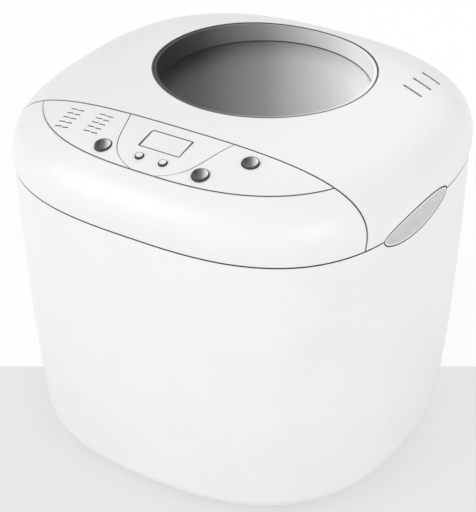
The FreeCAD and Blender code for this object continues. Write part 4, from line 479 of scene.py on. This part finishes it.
# Stops run from painted shade at the left to painted light at the right; on the pane it is painted
# reflection.
PANE_SHADE_AND_REFLECTION_STOPS = [(0.0, (0.018, 0.017, 0.018)), (0.2, (0.042, 0.039, 0.040)), (0.5, (0.20, 0.195, 0.195)),
              (0.78, (0.55, 0.55, 0.55)), (0.86, (0.70, 0.70, 0.70)), (0.95, (0.97, 0.97, 0.97))]
COLLAR_SHADE_AND_LIGHT_STOPS = [(0.0, (0.018, 0.017, 0.018)), (0.2, (0.075, 0.070, 0.070)), (0.5, (0.31, 0.30, 0.30)),
                (0.78, (0.70, 0.70, 0.70)), (0.93, (0.97, 0.97, 0.97))]
BUTTON_SHADE_AND_LIGHT_STOPS = [(0.0, (0.008, 0.008, 0.008)), (0.25, (0.024, 0.024, 0.024)), (0.55, (0.16, 0.16, 0.16)),
                (0.78, (0.62, 0.62, 0.62)), (0.93, (0.95, 0.95, 0.95))]
COLLAR_ROUGHNESS = 0.38
SMOKED_ROUGHNESS = 0.33
GRADED_GLOSS_WAVES = 60.0
GRADED_GLOSS_SPREAD = 0.03


def shade_graded_finish(name, centre, reach, stops, roughness, shade_line=None):
    """Painted shade to painted light over a reach to each side of a centre, with a line of painted
    shade if given.
    """
    material, tree, shader, place = start_finish(name)
    offset = offset_along(tree, place, centre, SHADE_GRADIENT_ACROSS)
    colour = ramp(tree, number(tree, "MULTIPLY_ADD", offset, 0.5 / reach, 0.5), stops)
    if shade_line:
        colour = blend_colours(tree, shade_line(tree, place), colour, RIM_SHADE_DARK)
    tree.links.new(colour, shader.inputs["Base Color"])
    waves = pattern(tree, "ShaderNodeTexNoise", place, Scale=GRADED_GLOSS_WAVES, Detail=3.0)
    vary_gloss(tree, shader, waves.outputs["Fac"], roughness, GRADED_GLOSS_SPREAD)
    return material


finishes["window_collar"] = shade_graded_finish("window_collar", WINDOW_CENTRE, WINDOW_REACH, COLLAR_SHADE_AND_LIGHT_STOPS,
                                          COLLAR_ROUGHNESS, window_rim_shade)
finishes["smoked_glass"] = shade_graded_finish("smoked_glass", WINDOW_CENTRE, WINDOW_REACH, PANE_SHADE_AND_REFLECTION_STOPS,
                                         SMOKED_ROUGHNESS)
print("smoked finishes made")

# %% [markdown]
# The display is a pale blank pane with a thin dark border, printed on its inside. The border could
# be four thin strips, but it has to follow the pane's edge, so it is read from the pane itself: the
# distance to the nearest edge, across and up the slope of the panel, decides which colour shows.

# %% Display pane
DISPLAY_SHADES = [(0.0, (0.82, 0.82, 0.82)), (1.0, (0.88, 0.88, 0.88))]
DISPLAY_ROUGHNESS = 0.12
DISPLAY_HAZE = 120.0
BORDER_WIDTH = 0.0010
BORDER_DARK = (0.09, 0.09, 0.095)


def display_finish():
    """A pale pane whose border shows where the nearest edge is close."""
    material, tree, shader, place = start_finish("clear_lens")
    edges = []
    for axis in PANEL_AXES:
        low, high = extent("lcd_window", axis)
        offset = number(tree, "SUBTRACT", along(tree, place, axis), (low + high) / 2)
        edges.append(number(tree, "SUBTRACT", (high - low) / 2, number(tree, "ABSOLUTE", offset)))
    border = number(tree, "LESS_THAN", number(tree, "MINIMUM", *edges), BORDER_WIDTH)
    haze = pattern(tree, "ShaderNodeTexNoise", place, Scale=DISPLAY_HAZE, Detail=2.0)
    pane = ramp(tree, haze.outputs["Fac"], DISPLAY_SHADES)
    tree.links.new(blend_colours(tree, border, pane, BORDER_DARK), shader.inputs["Base Color"])
    shader.inputs["Roughness"].default_value = DISPLAY_ROUGHNESS
    return material


finishes["clear_lens"] = display_finish()
print("display finish made")

# %% [markdown]
# Pan and paddle have a dark non-stick coat with a fine light speckle. The circuit boards are green
# lacquer over a mesh of tracks, and the motor's core is a stack of thin iron sheets. Each is a
# pattern on its own: a threshold on cells, a brick grid, and bands along the height.

# %% Non-stick coat, boards and iron stack
SPECKLE_CELLS = 700.0
SPECKLE_STOPS = [(0.10, (0.22, 0.22, 0.23)), (0.22, (0.035, 0.035, 0.038))]
COAT_ROUGHNESS = 0.32
COAT_SPREAD = 0.15
COAT_METAL = 0.3
TRACK_GRID = 260.0
TRACK_GREENS = {
    "Color1": (0.012, 0.085, 0.030, 1.0),
    "Color2": (0.016, 0.105, 0.038, 1.0),
    "Mortar": (0.030, 0.170, 0.065, 1.0),
}
BOARD_ROUGHNESS = 0.3
SHEET_BANDS = 320.0
SHEET_WAVER = 0.4
SHEET_STOPS = [(0.2, (0.06, 0.062, 0.07)), (0.8, (0.16, 0.165, 0.18))]
SHEET_ROUGHNESS = 0.5
SHEET_METAL = 0.7


def speckled_finish():
    material, tree, shader, place = start_finish("nonstick")
    cells = pattern(tree, "ShaderNodeTexVoronoi", place, Scale=SPECKLE_CELLS).outputs["Distance"]
    tree.links.new(ramp(tree, cells, SPECKLE_STOPS), shader.inputs["Base Color"])
    gloss = number(tree, "MULTIPLY_ADD", cells, COAT_SPREAD, COAT_ROUGHNESS)
    tree.links.new(gloss, shader.inputs["Roughness"])
    shader.inputs["Metallic"].default_value = COAT_METAL
    return material


def board_finish():
    material, tree, shader, place = start_finish("circuit_board")
    tracks = pattern(tree, "ShaderNodeTexBrick", place, Scale=TRACK_GRID, **TRACK_GREENS)
    tree.links.new(tracks.outputs["Color"], shader.inputs["Base Color"])
    shader.inputs["Roughness"].default_value = BOARD_ROUGHNESS
    return material


def stacked_finish():
    material, tree, shader, place = start_finish("lamination")
    sheets = pattern(tree, "ShaderNodeTexWave", place, Scale=SHEET_BANDS, Distortion=SHEET_WAVER)
    sheets.bands_direction = "Z"
    tree.links.new(ramp(tree, sheets.outputs["Fac"], SHEET_STOPS), shader.inputs["Base Color"])
    shader.inputs["Roughness"].default_value = SHEET_ROUGHNESS
    shader.inputs["Metallic"].default_value = SHEET_METAL
    return material


finishes["nonstick"] = speckled_finish()
finishes["circuit_board"] = board_finish()
finishes["lamination"] = stacked_finish()
print("patterned finishes made")

# %% [markdown]
# The record names one finish slot for each solid piece, so a loop hands them out, which is quicker
# and safer than sixty lines. The tub and the lid have openings ringed in painted shade. Buttons
# differ too: each dark one carries the painted shade and light, and every one has its ring of
# painted shade, about its own middle. So these get a finish of their own, and a button's is placed
# from its mesh.

# %% Give every solid piece its finish
BUTTON_ROUGHNESS = 0.36
BUTTON_REACH = 0.0063
WHITE_BUTTON_SHADE_RING = (0.0025, 0.0040)
DARK_BUTTON_SHADE_RING = (0.0056, 0.0070)
OWN_FINISH = {"body_shell": "tub_white", "lid_shell": "lid_white"}


def cap_centre(node):
    """The middle of a button's top, found on its own mesh along the panel's axes."""
    centre = PANEL_OUT * extent(node, PANEL_OUT)[1]
    for axis in PANEL_AXES:
        centre += axis * sum(extent(node, axis)) / 2
    return centre


def button_rim_shade(node, radii):
    """The share that paints a ring of shade about the middle of a button."""
    return functools.partial(ring_share, centre=cap_centre(node), axes=PANEL_AXES, radii=radii)


def finish_for(node, slot):
    """The finish of a piece: its own for a button, the tub and the lid, and else its slot's."""
    # Buttons get painted shade and light across them, and a ring of painted shade round their tops.
    if slot == "dark_button":
        return shade_graded_finish(node + "_shade_graded", cap_centre(node), BUTTON_REACH, BUTTON_SHADE_AND_LIGHT_STOPS,
                             BUTTON_ROUGHNESS, button_rim_shade(node, DARK_BUTTON_SHADE_RING))
    if slot == "white_button":
        return casing_finish(node + "_white", button_rim_shade(node, WHITE_BUTTON_SHADE_RING))
    return finishes[OWN_FINISH.get(node, slot)]


for row in frame["record"]["subparts"]:
    piece = frame["nodes"][row["node"]]
    piece.data.materials.clear()
    piece.data.materials.append(finish_for(row["node"], row["material_slot"]))

# %% [markdown]
# Left of the display the panel carries two printed columns of short strokes, five rows each. They
# could be painted by a material, but ink is a film with an edge, so each stroke is a fine grid laid
# over the panel: every point of it drops onto the panel's own skin, and the sheet then gets the
# thickness of a film.

# %% Printed strokes on the panel
STROKE_COLUMNS = (-0.0865, -0.0602)
STROKE_ROWS = 5
STROKE_FIRST_Y = -0.0970
STROKE_PITCH = 0.00515
STROKE_PARTS = ((-0.0033, 0.0030, 0.0), (0.0036, 0.0027, -0.0007))
STROKE_HALF_HEIGHT = 0.0005
STROKE_SEGMENTS = 6
INK_THICKNESS = 0.00008
DROP_HEIGHT = 0.4
DOWN = Vector((0.0, 0.0, -1.0))


def skin_of(node):
    """The surface of a solid piece, ready for rays."""
    return BVHTree.FromObject(frame["nodes"][node], bpy.context.evaluated_depsgraph_get())


def add_stroke(bm, skin, x, y, half_length):
    """One stroke as a grid, dropped onto the skin below it."""
    size = Matrix.Diagonal((half_length, STROKE_HALF_HEIGHT, 1.0, 1.0))
    made = bmesh.ops.create_grid(bm, x_segments=STROKE_SEGMENTS, y_segments=1, size=1.0,
                                 matrix=Matrix.Translation((x, y, 0.0)) @ size)
    for vertex in made["verts"]:
        hit = skin.ray_cast(Vector((vertex.co.x, vertex.co.y, DROP_HEIGHT)), DOWN)
        vertex.co.z = hit[0].z


def make_print():
    """All strokes as one film on the panel."""
    bm = bmesh.new()
    skin = skin_of("control_panel")
    for column in STROKE_COLUMNS:
        for row in range(STROKE_ROWS):
            y = STROKE_FIRST_Y - row * STROKE_PITCH
            for offset, half_length, drop in STROKE_PARTS:
                add_stroke(bm, skin, column + offset, y + drop, half_length)
    bmesh.ops.solidify(bm, geom=bm.faces[:], thickness=INK_THICKNESS)
    bmesh.ops.translate(bm, verts=bm.verts[:], vec=(0.0, 0.0, INK_THICKNESS / 2))
    bmesh.ops.recalc_face_normals(bm, faces=bm.faces[:])
    return piece_from(bm, "panel_print", finishes["panel_print"])


panel_print = make_print()
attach(panel_print, "casing")
print("strokes:", len(STROKE_COLUMNS) * STROKE_ROWS * len(STROKE_PARTS))

# %% [markdown]
# Under the open lid, the deck round the oven closes up to the back of each finger cup. The solid
# deck stops short of the cups there, so a thin filler plate closes each opening. It could be cut
# from a block, but its front edge has to follow the cup, so it is a grid that is drawn out to it: a
# ray from the back of the opening finds the cup at each row, and the sheet then gets its thickness.

# %% Filler plates of the deck
FILLER_BACK = 0.1282
FILLER_HALF_LENGTH = 0.0420
FILLER_TOP = 0.2369
FILLER_THICKNESS = 0.0012
FILLER_ROWS = 60
FILLER_COLUMNS = 3


def add_filler(bm, cups, side):
    """A level grid from the back edge of the opening to the back of the cup on one side."""
    made = bmesh.ops.create_grid(bm, x_segments=FILLER_COLUMNS, y_segments=FILLER_ROWS, size=1.0)
    for vertex in made["verts"]:
        y = RECESS_CENTRE.y + vertex.co.y * FILLER_HALF_LENGTH
        start = Vector((side * FILLER_BACK, y, FILLER_TOP))
        edge = cups.ray_cast(start, ACROSS * side)[0]
        vertex.co = start.lerp(edge, (1.0 + vertex.co.x) / 2)


def make_fillers():
    """Both plates as one piece, their faces turned up before they get their thickness."""
    bm = bmesh.new()
    cups = skin_of("grip_cups")
    for side in (-1.0, 1.0):
        add_filler(bm, cups, side)
    bmesh.ops.recalc_face_normals(bm, faces=bm.faces[:])
    for face in bm.faces:
        if face.normal.z < 0.0:
            face.normal_flip()
    bmesh.ops.solidify(bm, geom=bm.faces[:], thickness=FILLER_THICKNESS)
    return piece_from(bm, "deck_fillers", finishes["white_inner"])


deck_fillers = make_fillers()
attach(deck_fillers, "casing")
heights = [vertex.co.z for vertex in deck_fillers.data.vertices]
print("filler plates from", round(min(heights), 4), "to", round(max(heights), 4))
